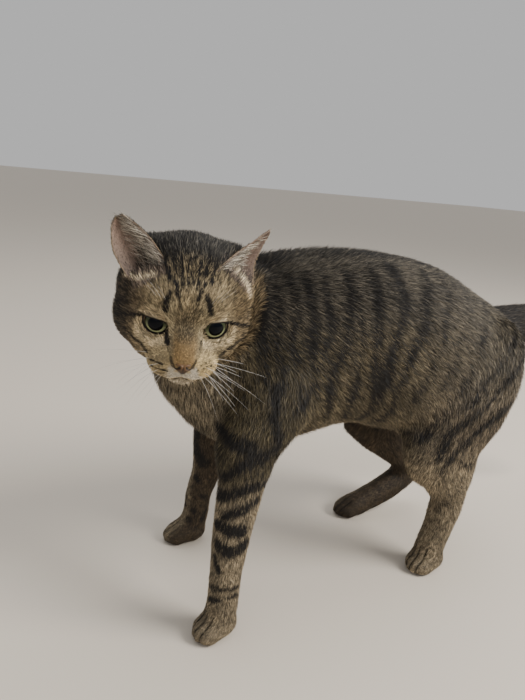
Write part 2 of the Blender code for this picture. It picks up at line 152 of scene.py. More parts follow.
def curveThrough(rows, steps):
    # Catmull-Rom: a smooth line through the rows, with so many steps to each span
    rows = np.asarray(rows, float)
    ext = np.vstack([2 * rows[0] - rows[1], rows, 2 * rows[-1] - rows[-2]])
    t = (np.arange(steps) / steps)[:, None]
    out = [0.5 * (2 * b + (c - a) * t + (2 * a - 5 * b + 4 * c - d) * t ** 2
                  + (3 * b - a - 3 * c + d) * t ** 3)
           for a, b, c, d in zip(ext[:-3], ext[1:-2], ext[2:-1], ext[3:])]
    return np.vstack(out + [rows[-1:]])


def gridFaces(rows, columns, flip=False):
    # quads of a grid of rows by columns, with the last column joined to the first
    r, c = np.meshgrid(np.arange(rows - 1), np.arange(columns), indexing="ij")
    a = r * columns + c
    b = r * columns + (c + 1) % columns
    quads = np.stack([a, b, b + columns, a + columns], axis=-1).reshape(-1, 4)
    return quads[:, ::-1] if flip else quads


def halved(quads):
    # each quad as two triangles
    return np.concatenate([quads[:, [0, 1, 2]], quads[:, [0, 2, 3]]])


def inScene(name, data):
    # an object of this data in the scene
    made = bpy.data.objects.new(name, data)
    bpy.context.scene.collection.objects.link(made)
    return made


def meshObject(name, points, triangles, colours=None, material=None, uv=None):
    # a mesh of triangles; points are in the cat's axes
    mesh = bpy.data.meshes.new(name)
    mesh.vertices.add(len(points))
    mesh.vertices.foreach_set("co", (points + toFrame).astype(np.float32).ravel())
    loops = triangles.ravel().astype(np.int32)
    mesh.loops.add(len(loops))
    mesh.loops.foreach_set("vertex_index", loops)
    mesh.polygons.add(len(triangles))
    mesh.polygons.foreach_set("loop_start", np.arange(0, len(loops), 3, dtype=np.int32))
    mesh.polygons.foreach_set("use_smooth", np.ones(len(triangles), bool))
    mesh.update(calc_edges=True)
    mesh.validate()
    if colours is not None:
        layer = mesh.color_attributes.new("coatColour", "FLOAT_COLOR", "POINT")
        values = np.column_stack([colours, np.ones(len(colours))])
        layer.data.foreach_set("color", values.astype(np.float32).ravel())
    if uv is not None:
        layer = mesh.uv_layers.new(name="OFBake")
        layer.data.foreach_set("uv", uv[loops].astype(np.float32).ravel())
    if material is not None:
        mesh.materials.append(material)
    return inScene(name, mesh)


def meshArrays(mesh):
    # a mesh's points and triangles
    points = np.empty(len(mesh.vertices) * 3, np.float32)
    mesh.vertices.foreach_get("co", points)
    mesh.calc_loop_triangles()
    corners = np.empty(len(mesh.loop_triangles) * 3, np.int32)
    mesh.loop_triangles.foreach_get("vertices", corners)
    return points.reshape(-1, 3).astype(float), corners.reshape(-1, 3)


def normalsOf(points, triangles):
    # each point's normal: the sum of its triangles' normals, weighted by their areas
    a, b, c = (points[triangles[:, k]] for k in range(3))
    facing = np.cross(b - a, c - a)
    total = np.zeros_like(points)
    for k in range(3):
        for axis in range(3):
            total[:, axis] += np.bincount(triangles[:, k], facing[:, axis], len(points))
    return unit(total)


def relaxed(points, triangles, rounds, share):
    # every point moves its share of the way to the middle of its neighbours
    ends = np.concatenate([triangles[:, [0, 1]], triangles[:, [1, 2]], triangles[:, [2, 0]]])
    one, other = ends.T
    count = np.bincount(ends.ravel(), minlength=len(points))[:, None]
    for _ in range(rounds):
        total = np.stack([np.bincount(one, points[other, axis], len(points))
                          + np.bincount(other, points[one, axis], len(points)) for axis in range(3)], axis=1)
        points = points + (total / count - points) * share[:, None]
    return points


def ellipsoid(centre, radii, turn=(0, 0, 0)):
    # middle and radii in millimetres, turned by degrees
    return {"centre": mm(centre), "radii": mm(radii), "spin": rotation(turn)}


headForms = [
    ellipsoid((0, 38, 11), (41, 36, 33.5)),                     # cranium
    ellipsoid((0, 37, 23), (34, 30, 24.5)),                     # crown
    ellipsoid((0, 13, 10), (30, 20, 20)),                       # brow
    ellipsoid((0, 18, -22), (27, 30, 16), (-14, 0, 0)),         # jaw
    ellipsoid((0, -3, -20.5), (17.5, 16.5, 12), (-12, 0, 0)),   # muzzle
    ellipsoid((0, -3.5, -33), (9, 9, 7)),                       # chin
    ellipsoid((0, 3, -1), (11.5, 15, 9.5), (38, 0, 0)),         # bridge, upper
    ellipsoid((0, -8.5, -10), (8, 12, 7), (42, 0, 0)),          # bridge, lower
]
for side in (-1, 1):
    headForms += [
        ellipsoid((side * 26 + 1, 29, -7), (22.5, 25, 23.5), (0, side * 12, side * 14)),    # cheek
        ellipsoid((side * 19, 13, -12), (17, 18, 19), (0, side * 10, side * 20)),           # under the eye
        ellipsoid((side * 27, 30, 12), (19, 23, 20)),                                       # temple
        ellipsoid((side * 24.5, 39, 27.5), (18, 16.5, 16)),                                 # foot of the ear
        ellipsoid((side * 10.2, -7, -23.5), (12.2, 10.2, 9.2), (-10, 0, side * 18)),        # whisker pad
    ]


def headField(points):
    # about the distance to the fused forms, in head axes: a soft minimum of each ellipsoid's own
    softness = 0.0022      # metres over which neighbours melt together
    total = np.zeros(len(points))
    for form in headForms:
        local = (points - form["centre"]) @ form["spin"]
        scaled = np.linalg.norm(local / form["radii"], axis=1)
        steep = np.linalg.norm(local / form["radii"] ** 2, axis=1)
        total += np.exp(-np.clip(scaled * (scaled - 1) / np.maximum(steep, 1e-9), -0.05, 0.05) / softness)
    return -softness * np.log(np.maximum(total, 1e-30))


def headSlope(points):
    # the field's slope, from its values a little to both sides along each axis
    step = 0.0002
    rises = [headField(points + step * axis) - headField(points - step * axis) for axis in np.eye(3)]
    return np.stack(rises, axis=1) / (2 * step)


def ontoHead(points, depth, rounds=4):
    # moves points along the field's slope until they lie so deep under the forms' surface
    for _ in range(rounds):
        slope = headSlope(points)
        miss = np.clip(headField(points) + depth, -0.004, 0.004)
        points = points - slope * (miss / np.maximum((slope ** 2).sum(axis=1), 0.05))[:, None]
    return points


noseTip = mm((0, -20, -19))


def coatDepth(length, lift):
    # how far a coat of such tufts stands over the skin: their length times the sine of their lift
    return 0.95 * length * np.sin(np.radians(lift))


def headCoat(head):
    # the coat's length, width, density and lift over the head: least at the nose
    far = 1000 * np.linalg.norm(head - noseTip, axis=1)
    long = 1.6 + 2.0 * ease(10, 40, far) + 3.6 * ease(40, 80, far)
    wide = 0.24 + 0.14 * ease(12, 40, far) + 0.22 * ease(40, 75, far)
    dense = 6.5 - 2.0 * ease(10, 36, far) - 2.2 * ease(36, 75, far)
    lift = 13 + 8 * ease(20, 60, far)
    return np.stack([long / 1000, wide / 1000, dense * 1e6, lift], axis=1)


def headCoatDepth(head):
    # how far the coat stands over the skin of the head
    sizes = headCoat(head)
    return coatDepth(sizes[:, 0], sizes[:, 3])


def tailPath():
    # level behind the rump, then down in an easy curve with its tip turned up
    t = np.linspace(0, 1, 26)
    rise = np.radians(3 - 68 * ease(0, 1, (t - 0.22) / 0.4) + 52 * ease(0, 1, (t - 0.68) / 0.32))
    swing = np.radians(-12 * np.sin(math.pi * t))
    moves = np.stack([np.sin(swing) * np.cos(rise), np.cos(swing) * np.cos(rise), np.sin(rise)], axis=1)
    return np.array((0.0, 270, 211)) + np.vstack([np.zeros(3), np.cumsum(moves * 290 / 26, axis=0)[:-1]])


def bone(path, radius, length, width, density, lift):
    # in millimetres; length, width, density and lift are pairs: at the path's start and at its end
    return {"path": mm(path), "radius": radius / 1000, "length": mm(length), "width": mm(width),
            "density": np.array(density) * 1e6, "lift": lift}


def upperCoat(radius, *path):
    # the long coat of the upper legs
    return bone(path, radius, (8, 6.6), (0.45, 0.41), (1.45, 1.7), (19, 17))


def legCoat(radius, *path):
    # the short coat of the lower legs
    return bone(path, radius, (5.6, 3.8), (0.39, 0.34), (2.0, 2.6), (16, 13))


def pawCoat(*path):
    # the shortest coat, on the paws
    return bone(path, 13, (3, 2.2), (0.33, 0.29), (3.0, 3.6), (12, 10))


bones = {
    "trunk": bone([(0, -4, 190), (0, 55, 204), (0, 125, 209), (0, 195, 195), (0, 262, 190), (0, 284, 190)],
                  64, (8.8, 8.8), (0.45, 0.45), (1.4, 1.4), (19, 19)),
    "neck": bone([(16, -12, 222), (0, 12, 219), (-2, 50, 214)],
                 45, (7.8, 8.8), (0.55, 0.6), (1.6, 1.4), (19, 19)),
    "throat": bone([(12, -12, 205), (4, 4, 172), (4, 16, 150)],
                   34, (8.5, 10.5), (0.55, 0.6), (1.6, 1.4), (19, 20)),
    "upperForeLeft": upperCoat(26, (43, 34, 185), (47, 16, 146), (50, 13, 124)),
    "upperForeRight": upperCoat(26, (-43, 46, 185), (-47, 34, 146), (-50, 31, 124)),
    "foreLeft": legCoat(15.5, (50, 12, 128), (52, 10, 112), (56, 3.5, 74), (58.5, 1, 46), (58.5, 0, 26)),
    "foreRight": legCoat(15.5, (-50, 30, 128), (-52, 28, 112), (-56, 27.5, 74), (-58.5, 21, 46),
                         (-58.5, 20, 26)),
    "forePawLeft": pawCoat((59.5, 0, 20), (60.5, -18.5, 7)),
    "forePawRight": pawCoat((-59.5, 18, 20), (-59.5, -4, 7)),
    "thighLeft": upperCoat(38, (30, 252, 205), (36, 236, 182), (41, 218, 156), (44, 206, 130)),
    "thighRight": upperCoat(36, (-30, 252, 205), (-36, 232, 180), (-41, 208, 148), (-44, 190, 118)),
    "shankLeft": upperCoat(23, (45, 206, 134), (47, 208, 112), (48, 213.5, 96), (49, 218.5, 78)),
    "shankRight": upperCoat(21, (-44, 194, 116), (-46, 214, 94), (-48, 240, 68), (-49, 257, 50)),
    "hindFootLeft": legCoat(15, (49, 219, 82), (49, 217.5, 64), (49, 213, 42), (49, 207, 23)),
    "hindFootRight": legCoat(14, (-49, 260, 46), (-49, 250, 34), (-49, 233, 24), (-49, 212, 17)),
    "hindPawLeft": pawCoat((49, 206, 18), (50, 185, 7)),
    "hindPawRight": pawCoat((-49, 206, 16), (-49, 172, 7)),
    "tail": bone(tailPath(), 18, (9, 8.8), (0.45, 0.45), (1.5, 1.7), (19, 22)),
}
regionNames = list(bones) + ["head"]
headRegion = len(bones)


def bodyMap(points):
    # for each point: its region, place along and around the bone, the coat's sizes, and the lie of the hair
    head = toHead(points)
    keys = ("length", "width", "density", "lift")
    ratio = np.empty((len(points), len(regionNames)))
    sizes = np.empty((*ratio.shape, len(keys)))
    ways = np.empty((*ratio.shape, 3))
    places = np.empty((*ratio.shape, 2))
    for k, (name, b) in enumerate(bones.items()):
        far, along, way = nearPath(points, b["path"])
        ratio[:, k] = far / b["radius"]
        sizes[:, k] = np.stack([mix(*b[key], along) for key in keys], axis=1)
        ways[:, k] = way
        last = len(b["path"]) - 1
        across = points - b["path"][np.clip((along * last).astype(int), 0, last)]
        aside = unit(np.cross(way, (0.0, 0.0, 1.0) if name in ("trunk", "neck", "tail") else (0.0, 1.0, 0.0)))
        up = np.cross(aside, way)
        turn = np.arctan2((across * aside).sum(axis=1), (across * up).sum(axis=1))
        places[:, k] = np.stack([along, turn / (2 * math.pi) + 0.5], axis=1)
    x, y, z = points.T * 1000
    trunk, neck, throat = (regionNames.index(n) for n in ("trunk", "neck", "throat"))
    ways[:, trunk, 0] = 0
    ways[:, trunk, 1] = 1 - 0.75 * ease(20, -16, y)
    ways[:, trunk, 2] = -0.85 * ease(6, 45, np.abs(x)) * ease(285, 230, y) - 1.4 * ease(30, -10, y)
    ways[:, neck, 2] -= 0.75 * ease(8, 40, np.abs(x))
    ways[:, throat, 2] -= 0.5
    # over the head the hair lies away from the nose
    ratio[:, headRegion] = 0.35 + np.maximum(headField(head) + headCoatDepth(head), 0) / 0.009
    sizes[:, headRegion] = headCoat(head)
    radial = unit(head - noseTip)
    radial[:, 2] -= 0.35 * ease(0.004, -0.02, head[:, 2]) * ease(-0.012, 0.02, head[:, 1])
    radial[:, 1] += 0.35
    ways[:, headRegion] = unit(radial) @ headSpin.T
    sphere = unit(head - mm((0, 30, 0)))
    places[:, headRegion, 0] = np.arctan2(sphere[:, 0], -sphere[:, 1]) / (2 * math.pi) + 0.5
    places[:, headRegion, 1] = np.arcsin(np.clip(sphere[:, 2], -1, 1)) / math.pi + 0.5
    region = ratio.argmin(axis=1)
    weight = np.exp(-(ratio - ratio.min(axis=1)[:, None]) * 7.0)
    weight /= weight.sum(axis=1)[:, None]
    blended = (sizes * weight[:, :, None]).sum(axis=1)
    made = {key: blended[:, k] for k, key in enumerate(keys)}
    # the belly's hair is longer and stands out more
    belly = ease(155, 128, z) * ease(40, 80, y) * ease(250, 200, y) * (region == trunk)
    made["length"] = made["length"] * (1 + 0.45 * belly)
    made["lift"] = made["lift"] + 8 * belly
    made["depth"] = coatDepth(made["length"], made["lift"])
    made["region"] = region
    made["place"] = places[np.arange(len(points)), region]
    made["way"] = unit((unit(ways) * weight[:, :, None]).sum(axis=1))
    made["head"] = head
    made["headShare"] = weight[:, headRegion]
    return made


def inRegion(info, *names):
    # whether each point lies in one of these regions
    return np.isin(info["region"], [regionNames.index(name) for name in names])


# display colours from 0 to 255
palette = {
    "flank": (112, 100, 76), "loin": (114, 104, 86), "back": (102, 94, 81), "thigh": (126, 112, 91),
    # inner is painted shade: the right legs' inner sides and paws, as if in the body's shadow
    "shoulder": (90, 80, 58), "belly": (134, 120, 94), "leg": (158, 142, 115), "inner": (84, 70, 52),
    # side is painted shade on the face's right side, which is turned from the light
    "head": (170, 152, 118), "side": (112, 98, 78), "crown": (88, 83, 74), "cheek": (150, 130, 98),
    "ring": (238, 216, 174), "brow": (190, 174, 138), "patch": (226, 208, 176), "pad": (222, 197, 146),
    "muzzle": (232, 222, 202), "bridge": (176, 146, 100), "tail": (74, 66, 57), "throat": (150, 136, 112),
    "concha": (128, 112, 98), "earBack": (74, 66, 58), "earHair": (186, 176, 160), "dark": (24, 20, 17),
    "root": (48, 42, 36), "lips": (42, 26, 20), "sole": (52, 42, 38), "lidRim": (24, 18, 16),
    "earUpper": (134, 112, 98), "earMiddle": (116, 98, 86), "earHollowShade": (60, 50, 44), "earRim": (150, 128, 98),
    # the iris's two tones are the painted shadow of the lid above and painted light in its lower crescent
    "earSkin": (66, 58, 50), "earSkinFoot": (58, 50, 44), "pupil": (2, 5, 12), "irisLidShadow": (60, 64, 48),
    "irisLitCrescent": (176, 182, 140), "irisInner": (70, 78, 46), "irisRim": (26, 26, 18),
    "eyeWhite": (96, 84, 70), "noseUpper": (98, 70, 40), "noseLower": (72, 49, 28),
    "noseRim": (30, 20, 14), "nostril": (22, 12, 10),
}
tones = {name: linear(value) for name, value in palette.items()}


def marks(*rows):
    # bent lines that colour the coat: points and half width given in millimetres, and a strength
    return [(mm(path), half / 1000, strength) for path, half, strength in rows]


# flank stripes: (y, z) down the side, half width, strength
flankStripes = marks(
    (((25, 252), (19, 224), (22, 196)), 4.3, 0.924),
    (((33, 252), (29, 217), (34, 195)), 4.3, 0.924),
    (((46, 262), (41, 224), (45, 186)), 4.8, 0.852),
    (((56, 262), (55, 231), (56, 197), (48, 176)), 4.8, 0.924),
    (((68, 262), (67, 228), (63, 205)), 4.3, 0.732),
    (((87, 262), (79, 224), (73, 198), (76, 165)), 5.6, 1),
    (((92, 250), (94, 216), (91, 190), (96, 160)), 4.8, 0.852),
    (((110, 262), (107, 231), (106, 215), (112, 180)), 5.6, 1),
    (((131, 266), (126, 231), (117, 197), (115, 155)), 5.6, 0.972),
    (((159, 266), (146, 237), (139, 212), (128, 180), (132, 150)), 5.6, 0.972),
    (((178, 258), (170, 236), (160, 205), (148, 170)), 5.1, 0.732),
    (((200, 250), (192, 226), (180, 196), (165, 165)), 5.1, 0.552),
    (((228, 240), (214, 218), (198, 186), (178, 150)), 5.3, 0.552),
    (((256, 222), (232, 196), (192, 163), (167, 133)), 5.7, 0.792),
    (((266, 198), (226, 171), (195, 146), (182, 118)), 5.6, 0.924),
    (((270, 164), (222, 144), (201, 124), (190, 106)), 5.1, 0.972),
)
# bars on the left fore leg, in the cat's axes; the right leg's outer side repeats them
foreBars = marks(
    (((61, 30, 194), (64, 24, 172), (64, 31, 148)), 4.3, 1),
    (((44, -7, 160), (58, -3, 154), (65, 8, 151)), 4.9, 1),
    (((50, -7, 127), (56, -6, 131), (65, 6, 141), (66, 24, 149)), 4.3, 1),
    (((48, -6, 112), (56, -6, 113), (66, 6, 118), (63, 24, 122)), 5.2, 1),
    (((62, -4, 98), (65, 0, 101), (68, 10, 104), (63, 19, 107)), 3.8, 0.95),
    (((57, -9, 92), (67, -3, 90), (69, 6, 89)), 4, 1),
    (((60, -8, 78), (68, 0, 77), (68, 11, 80)), 4.6, 0.95),
    (((60, -10, 68), (66, -7, 60)), 2.9, 0.8),
    (((59, -12, 42), (68, -7, 45), (71, 0, 46), (70, 10, 45)), 2.2, 0.9),
    (((59, -12, 35), (68, -7, 36), (71, -1, 38), (70, 10, 37)), 2.2, 0.9),
)
# bars on the right fore leg's inner side
innerBars = marks(
    (((-50, 13, 100), (-46, 20, 84)), 7.2, 1),
    (((-50, 13, 66), (-50, 16, 63)), 3.4, 0.95),
    (((-48, 16, 48), (-48, 28, 46)), 2.6, 0.85),
    (((-49, 31, 42), (-49, 25, 26)), 3.6, 0.75),
    (((-50, 12, 34), (-50, 14, 33)), 2.2, 0.85),
    (((-52, 10, 26), (-50, 13, 25)), 2.2, 0.85),
)
# bars on both hind legs
hindBars = marks(
    (((54, 202, 62), (59, 208, 68)), 5.2, 0.55),
    (((45, 199, 90), (56, 201, 92), (60, 215, 98)), 3.4, 0.55),
    (((56, 186, 112), (62, 200, 112), (60, 225, 106)), 3.6, 0.6),
    (((56, 205, 46), (62, 213, 48)), 3, 0.4),
)
# lines on the face for one side, in head axes
faceLines = marks(
    (((11.5, 1, 21), (13, -2, 17), (13.5, -4.5, 11.5)), 1.9, 1),      # over the eye
    (((10, 5, 28.5), (8, 3, 25.5), (6, -3, 20.5)), 1.4, 1),
    (((5.5, -3, 20.5), (4, -6, 12)), 0.9, 0.6),
    (((13.5, 38, 45), (11, 23, 42), (10, 13, 35.5), (9, 8, 31)), 1.5, 1),
    (((7.5, 36, 46.5), (6, 15, 37.5), (4.5, 2, 25)), 1.2, 1),
    (((2.5, 38, 47), (1, 14, 38), (1.5, 3, 27)), 0.9, 1),
    (((19, 30, 43), (14.5, 15, 35.5), (13, 7, 28)), 1.6, 0.95),
    (((26, 2, 3.5), (35, 8, 0.5), (42.5, 13, -2), (47, 22, -6)), 1.3, 0.9),
    (((23, -3, -18.5), (28, -2, -13.5), (37, 7.5, -10), (46, 20, -10)), 1.3, 0.8),
    (((25, -1, -23.5), (33.5, 3, -17.5), (41.5, 13, -16)), 1.1, 0.6),
    (((11, -1, -4.5), (10.5, -7, -8)), 1.3, 0.9),      # tear mark
    (((10, -9, -9.5), (9, -14, -12.5)), 1.4, 0.45),
    (((8, -16.5, -14), (7, -18.5, -16.5), (6, -19, -18.5)), 1.1, 0.8),
)
# the whisker rows, in head axes: lines on the right pad, with the tear mark there, and spots on the left one
rightFaceLines = marks(
    (((-20.5, -10, -20), (-12.5, -17, -19.5)), 0.7, 1),
    (((-20, -12, -23.5), (-9.5, -18, -23)), 0.7, 1),
    (((-16.5, -14, -27), (-11, -17, -26)), 0.5, 0.7),
    (((-11.8, 2, -3), (-10.6, -7.5, -8)), 2.1, 1),
)
whiskerSpots = [(12, -16.5, -18), (14.5, -14.5, -17.5), (17, -12.5, -17), (10, -18, -21), (13.5, -17, -20.5),
                (15.5, -15.5, -19.5), (18, -12, -20.5)]


def stroke(points, path, half, outer=1.45, inner=0.65):
    # 1 along a bent line, falling to 0 a little past its half width
    far = nearPath(points, path)[0]
    return ease(half * outer, half * inner, far)


def faceStroke(head, path, half):
    # the same on the face, where the depth counts half
    flat = np.array((1, 0.5, 1))
    return stroke(head * flat, np.array(path) * flat, half)


def spot(points, centre, outer, inner, squash=(1, 1, 1)):
    # 1 round a centre given in millimetres, falling to 0 at the outer radius
    return ease(outer, inner, 1000 * np.linalg.norm((points - mm(centre)) * squash, axis=1))


def bodyDark(points, info):
    # how dark the coat is off the head, 0 to 1: fine bands and noise, or the strongest marking there, with
    # painted shade in the valleys between the toes
    x, y, z = points.T * 1000
    warped = points + 0.0024 * waveShift(points, 0.022, 11)
    mirrored = warped * (-1, 1, 1)
    broken = 0.9 + 0.25 * waves(points, 0.015, 14)
    fine = np.cos((warped[:, 1] + 0.3 * (warped[:, 2] - 0.2) * ease(140, 240, y)) * 2 * math.pi / 0.0086)
    fine = ease(-0.25, 0.75, fine) * ease(90, 130, z) * ease(10, 30, np.abs(x)) * broken
    dark = 0.24 + 0.08 * waves(points, 0.03, 15) + 0.16 * fine
    side = ease(12, 30, np.abs(x)) * ease(70, 105, z) * broken
    for path, half, strength in flankStripes:
        dark = np.maximum(dark, stroke(warped[:, 1:], path, half, 1.7, 0.1) * strength * side)
    spine = ease(30, 12, np.abs(x)) * ease(215, 235, z)
    dark = np.maximum(dark, spine * (0.72 + 0.2 * waves(points, 0.02, 16)))
    rump = ease(255, 280, y) * ease(160, 200, z)
    nape = ease(60, 20, y) * ease(215, 240, z) * ease(75, 50, np.abs(x))
    dark = np.maximum(dark, 0.62 * np.maximum(rump, nape))
    legs = ~inRegion(info, "neck", "throat", "thighLeft", "thighRight", "tail", "head")
    for path, half, strength in foreBars:
        right = 0.9 * stroke(mirrored - mm((0, 19, 0)), path, half)
        mark = np.where(x > 0, stroke(warped, path, half), right)
        dark = np.maximum(dark, np.minimum(1.25 * mark * strength, 1) * legs)
    for path, half, strength in innerBars:
        dark = np.maximum(dark, stroke(warped, path, half) * strength)
    for path, half, strength in hindBars:
        mark = np.maximum(stroke(warped, path, half), stroke(mirrored, path, half))
        dark = np.maximum(dark, mark * strength)
    # the tail's rings, dark top and tip
    along, around = info["place"].T
    rings = 0.5 + 0.5 * np.cos(along * 2 * math.pi * 7.5 + 1.2 * waves(points, 0.03, 17))
    tail = np.maximum(0.42 + 0.44 * ease(0.45, 0.8, rings), ease(0.78, 0.9, along))
    tail = np.maximum(tail, 0.5 * ease(0.35, 0.05, np.abs(around - 0.5)))
    dark = np.where(inRegion(info, "tail"), tail, dark)
    # painted shade: the coat darkened in the valleys between the toes
    return np.clip(np.maximum(dark, 0.9 * ease(0.25, 0.8, toeGroove(points))), 0, 1)


feet = {
    "forePawLeft": {"at": (60.5, -6), "turn": 8, "wide": 26.5, "long": 31},
    "forePawRight": {"at": (-59.5, 10), "turn": -6, "wide": 28, "long": 35},
    "hindPawLeft": {"at": (50, 203), "turn": 6, "wide": 27.5, "long": 34},
    "hindPawRight": {"at": (-49, 190), "turn": -5, "wide": 28, "long": 36},
}


def pawAxes(points, foot):
    # the foot's own axes in millimetres: x across, y to the heel, from the middle of the sole
    spin = rotation((0, 0, foot["turn"]))
    return (1000 * points - (*foot["at"], 0)) @ spin


def toeGroove(points):
    # 1 in the three valleys between each foot's toes, which splay towards the front
    total = np.zeros(len(points))
    for foot in feet.values():
        local = pawAxes(points, foot)
        long = foot["long"]
        front = ease(-0.02 * long, -0.22 * long, local[:, 1])
        near = ease(30, 24, np.linalg.norm(local, axis=1)) * front
        for gap in (-1, 0, 1):
            splay = gap * foot["wide"] * (0.215 - 0.0009 * (local[:, 1] + 0.3 * long))
            total = np.maximum(total, near * hill(local[:, 0], splay, 0.85))
    return total


def faceDark(head):
    # how dark the coat of the face is, 0 to 1: the strongest of its areas, lines and spots at each place
    warped = head + 0.0005 * waveShift(head, 0.008, 21)
    mirrored = mirroredHead(warped)
    x, y, z = head.T * 1000
    wide = np.abs(x)
    dark = 0.14 + 0.14 * waves(head, 0.008, 24)
    temple = ease(24, 40, wide) * ease(-22, -4, z) * ease(2, 16, y)
    # the right temple's 0.7, against 0.34 on the left, and the right side's 0.55 are painted shade on the
    # side of the face turned from the light
    areas = [np.where(x > 0, 0.34, 0.7) * temple,
             0.58 * ease(4, 20, y) * ease(24, 37, z),                       # crown
             0.4 * ease(17, 11, wide) * ease(21, 30, z) * (y < 30),         # forehead
             0.66 * ease(28, 50, y),                                        # back
             0.55 * ease(-28, -40, x),                                      # right side
             0.46 * ease(9, 3, wide) * ease(16, 8, z) * ease(-9, -3, z)]    # bridge
    for area in areas:
        dark = np.maximum(dark, area)
    for path, half, strength in faceLines:
        dark = np.maximum(dark, faceStroke(mirrored, path, half) * strength)
    for path, half, strength in rightFaceLines:
        dark = np.maximum(dark, faceStroke(warped, path, half) * strength)
    for centre in whiskerSpots:
        dark = np.maximum(dark, 0.85 * spot(warped, centre, 1.1, 0.5, (1, 0.5, 1)))
    return np.clip(dark, 0, 1)


def facePale(head):
    # how far each light tone covers the coat of the face
    mirrored = mirroredHead(head)
    right = head[:, 0] * 1000
    x, y, z = mirrored.T * 1000
    # side: painted shade, dimming the pale whisker pad and muzzle on the face's right side
    side = np.where(right < 0, ease(-13, -6, right), 1)
    under = stroke(mirrored, mm([(13, -6, -9), (20, -3, -11), (27, 2, -9)]), 0.0034)
    ring = np.maximum(0.7 * spot(mirrored, (19.5, -1, -1.5), 15, 11), under)
    patch = np.maximum(stroke(head, mm([(-40.6, 19.4, 21.6), (-31.1, 12.5, 23.7), (-22, 12, 26.8)]), 0.0017),
                       stroke(head, mm([(28.5, 22.4, 33), (36.2, 18.6, 26.1), (39.9, 15.5, 17.8)]), 0.0022))
    pad = spot(mirrored, (12, -12, -23), 16, 10.5, (0.95, 1, 1.1)) * (0.35 + 0.65 * side)
    lip = np.maximum(stroke(mirrored, mm([(0, -19, -26.2), (6, -18, -26.8), (10, -15, -29)]), 0.0034),
                     stroke(mirrored, mm([(6.6, -18.5, -20.5), (8, -17.5, -24.5)]), 0.0022))
    chin = 0.42 * spot(head, (0, -6, -37.5), 13.5, 8.5)
    brow = 0.75 * ease(4.2, 1.4, np.abs(x - 9.8)) * ease(-8, -2, z) * ease(22, 14, z) * (y < 10)
    warm = ease(9.2, 5, x) * ease(2, -8, z) * ease(-21.5, -18.5, z) * (y < 2)      # the bridge's brown
    return {"ring": ring, "brow": brow, "patch": patch, "pad": pad,
            "muzzle": np.maximum(lip * side, chin), "bridge": warm}


def mouthDark(head):
    # 1 on the mouth's line, a little less on the philtrum
    return np.maximum(ease(0.0013, 0.0006, mouthFar(head)), 0.8 * ease(0.0009, 0.0004, philtrumFar(head)))


def mirroredHead(head):
    # both halves of the face laid on the left one
    return np.stack([np.abs(head[:, 0]), head[:, 1], head[:, 2]], axis=1)


mouthPath = curveThrough(mm([(0, -15, -30), (2.2, -14, -30.6), (5.5, -11.6, -33.4), (10.5, -8, -34.6),
                             (16, -3, -34.5), (21.5, 5.5, -31.5)]), 5)
philtrumPath = mm([(0, -21.5, -22.5), (0, -15, -30.6)])


def mouthFar(head):
    # distance to the mouth's line
    return nearPath(mirroredHead(head), mouthPath)[0]


def philtrumFar(head):
    # distance to the line from the nose to the mouth
    return nearPath(head, philtrumPath)[0]


def coatTones(points, info):
    # the colour of the fur's light bands at each point, and how dark its markings are there, with painted
    # shade on the face's right side, the right legs and between the toes
    head = info["head"]
    onHead = ease(0.35, 0.65, info["headShare"])
    dark = mix(bodyDark(points, info), faceDark(head), onHead)
    x, y, z = points.T * 1000
    throat = 1.0 * inRegion(info, "throat")
    front = ease(30, 0, y) * ease(235, 205, z) * inRegion(info, "neck", "throat")
    chest = 0.7 * ease(36, 12, y) * ease(215, 190, z) * ease(140, 160, z) * ease(48, 34, np.abs(x))
    rump = ease(255, 280, y) * ease(160, 200, z)
    belly = 0.7 * ease(165, 130, z) * ease(30, 70, y) * ease(260, 220, y) * inRegion(info, "trunk")
    light = tones["shoulder"]
    for name, share in (("flank", ease(30, 90, y)), ("loin", ease(120, 200, y)),
                        ("thigh", ease(200, 140, z) * ease(150, 200, y)), ("back", ease(215, 255, z)),
                        ("belly", belly), ("leg", ease(135, 105, z)),
                        # painted shade: the right legs' inner sides and paws darkened as if in the body's
                        # shadow
                        ("inner", ease(58, 50, np.abs(x)) * ease(150, 120, z) * (x < 0)),
                        ("throat", np.maximum(np.maximum(front, 0.8 * throat), chest)),
                        ("tail", np.maximum(inRegion(info, "tail"), rump))):
        light = mix(light, tones[name], share)
    x, y, z = head.T * 1000
    pale = facePale(head)
    face = tones["head"]
    # side: painted shade over the face's right side
    for name, share in (("cheek", ease(20, 36, np.abs(x))), ("side", ease(-20, -34, x) * ease(0, 12, y)),
                        ("crown", np.maximum(ease(8, 22, y) * ease(20, 36, z), ease(30, 46, y))),
                        *pale.items(),
                        *(("concha", earHollow(way, head) * (1 - pale["patch"])) for way in (-1, 1))):
        face = mix(face, tones[name], share)
    light = mix(light, face, onHead) * (1 + 0.16 * waves(points, 0.025, 31))[:, None]
    dark = dark * (1 - 0.9 * onHead * pale["patch"])
    return light, np.maximum(dark, onHead * mouthDark(head))


def skinColours(points, info):
    # the same tones, deeper; dark lips, and grey-brown soles
    light, dark = coatTones(points, info)
    colour = mix(light * 0.55, tones["dark"], dark)
    lips = ease(0.35, 0.65, info["headShare"]) * mouthDark(info["head"])
    colour = mix(colour, tones["lips"], lips)
    return mix(colour, tones["sole"], ease(0.003, 0.0015, points[:, 2]))


def setInputs(tree, node, inputs):
    # each named input gets its value, or a link where another node's socket is given
    for name, value in inputs.items():
        if isinstance(value, bpy.types.NodeSocket):
            tree.links.new(value, node.inputs[name])
        else:
            node.inputs[name].default_value = value
    return node


def addNode(tree, kind, inputs):
    # a new node with its inputs set
    return setInputs(tree, tree.nodes.new(kind), inputs)


def newMaterial(name):
    # an empty material, its node tree and its shader
    made = bpy.data.materials.new(name)
    made.use_nodes = True
    return made, made.node_tree, made.node_tree.nodes["Principled BSDF"]


def coatColour(tree):
    # the colour that meshObject stored with each point
    node = addNode(tree, "ShaderNodeAttribute", {})
    node.attribute_name = "coatColour"
    return node.outputs["Color"]


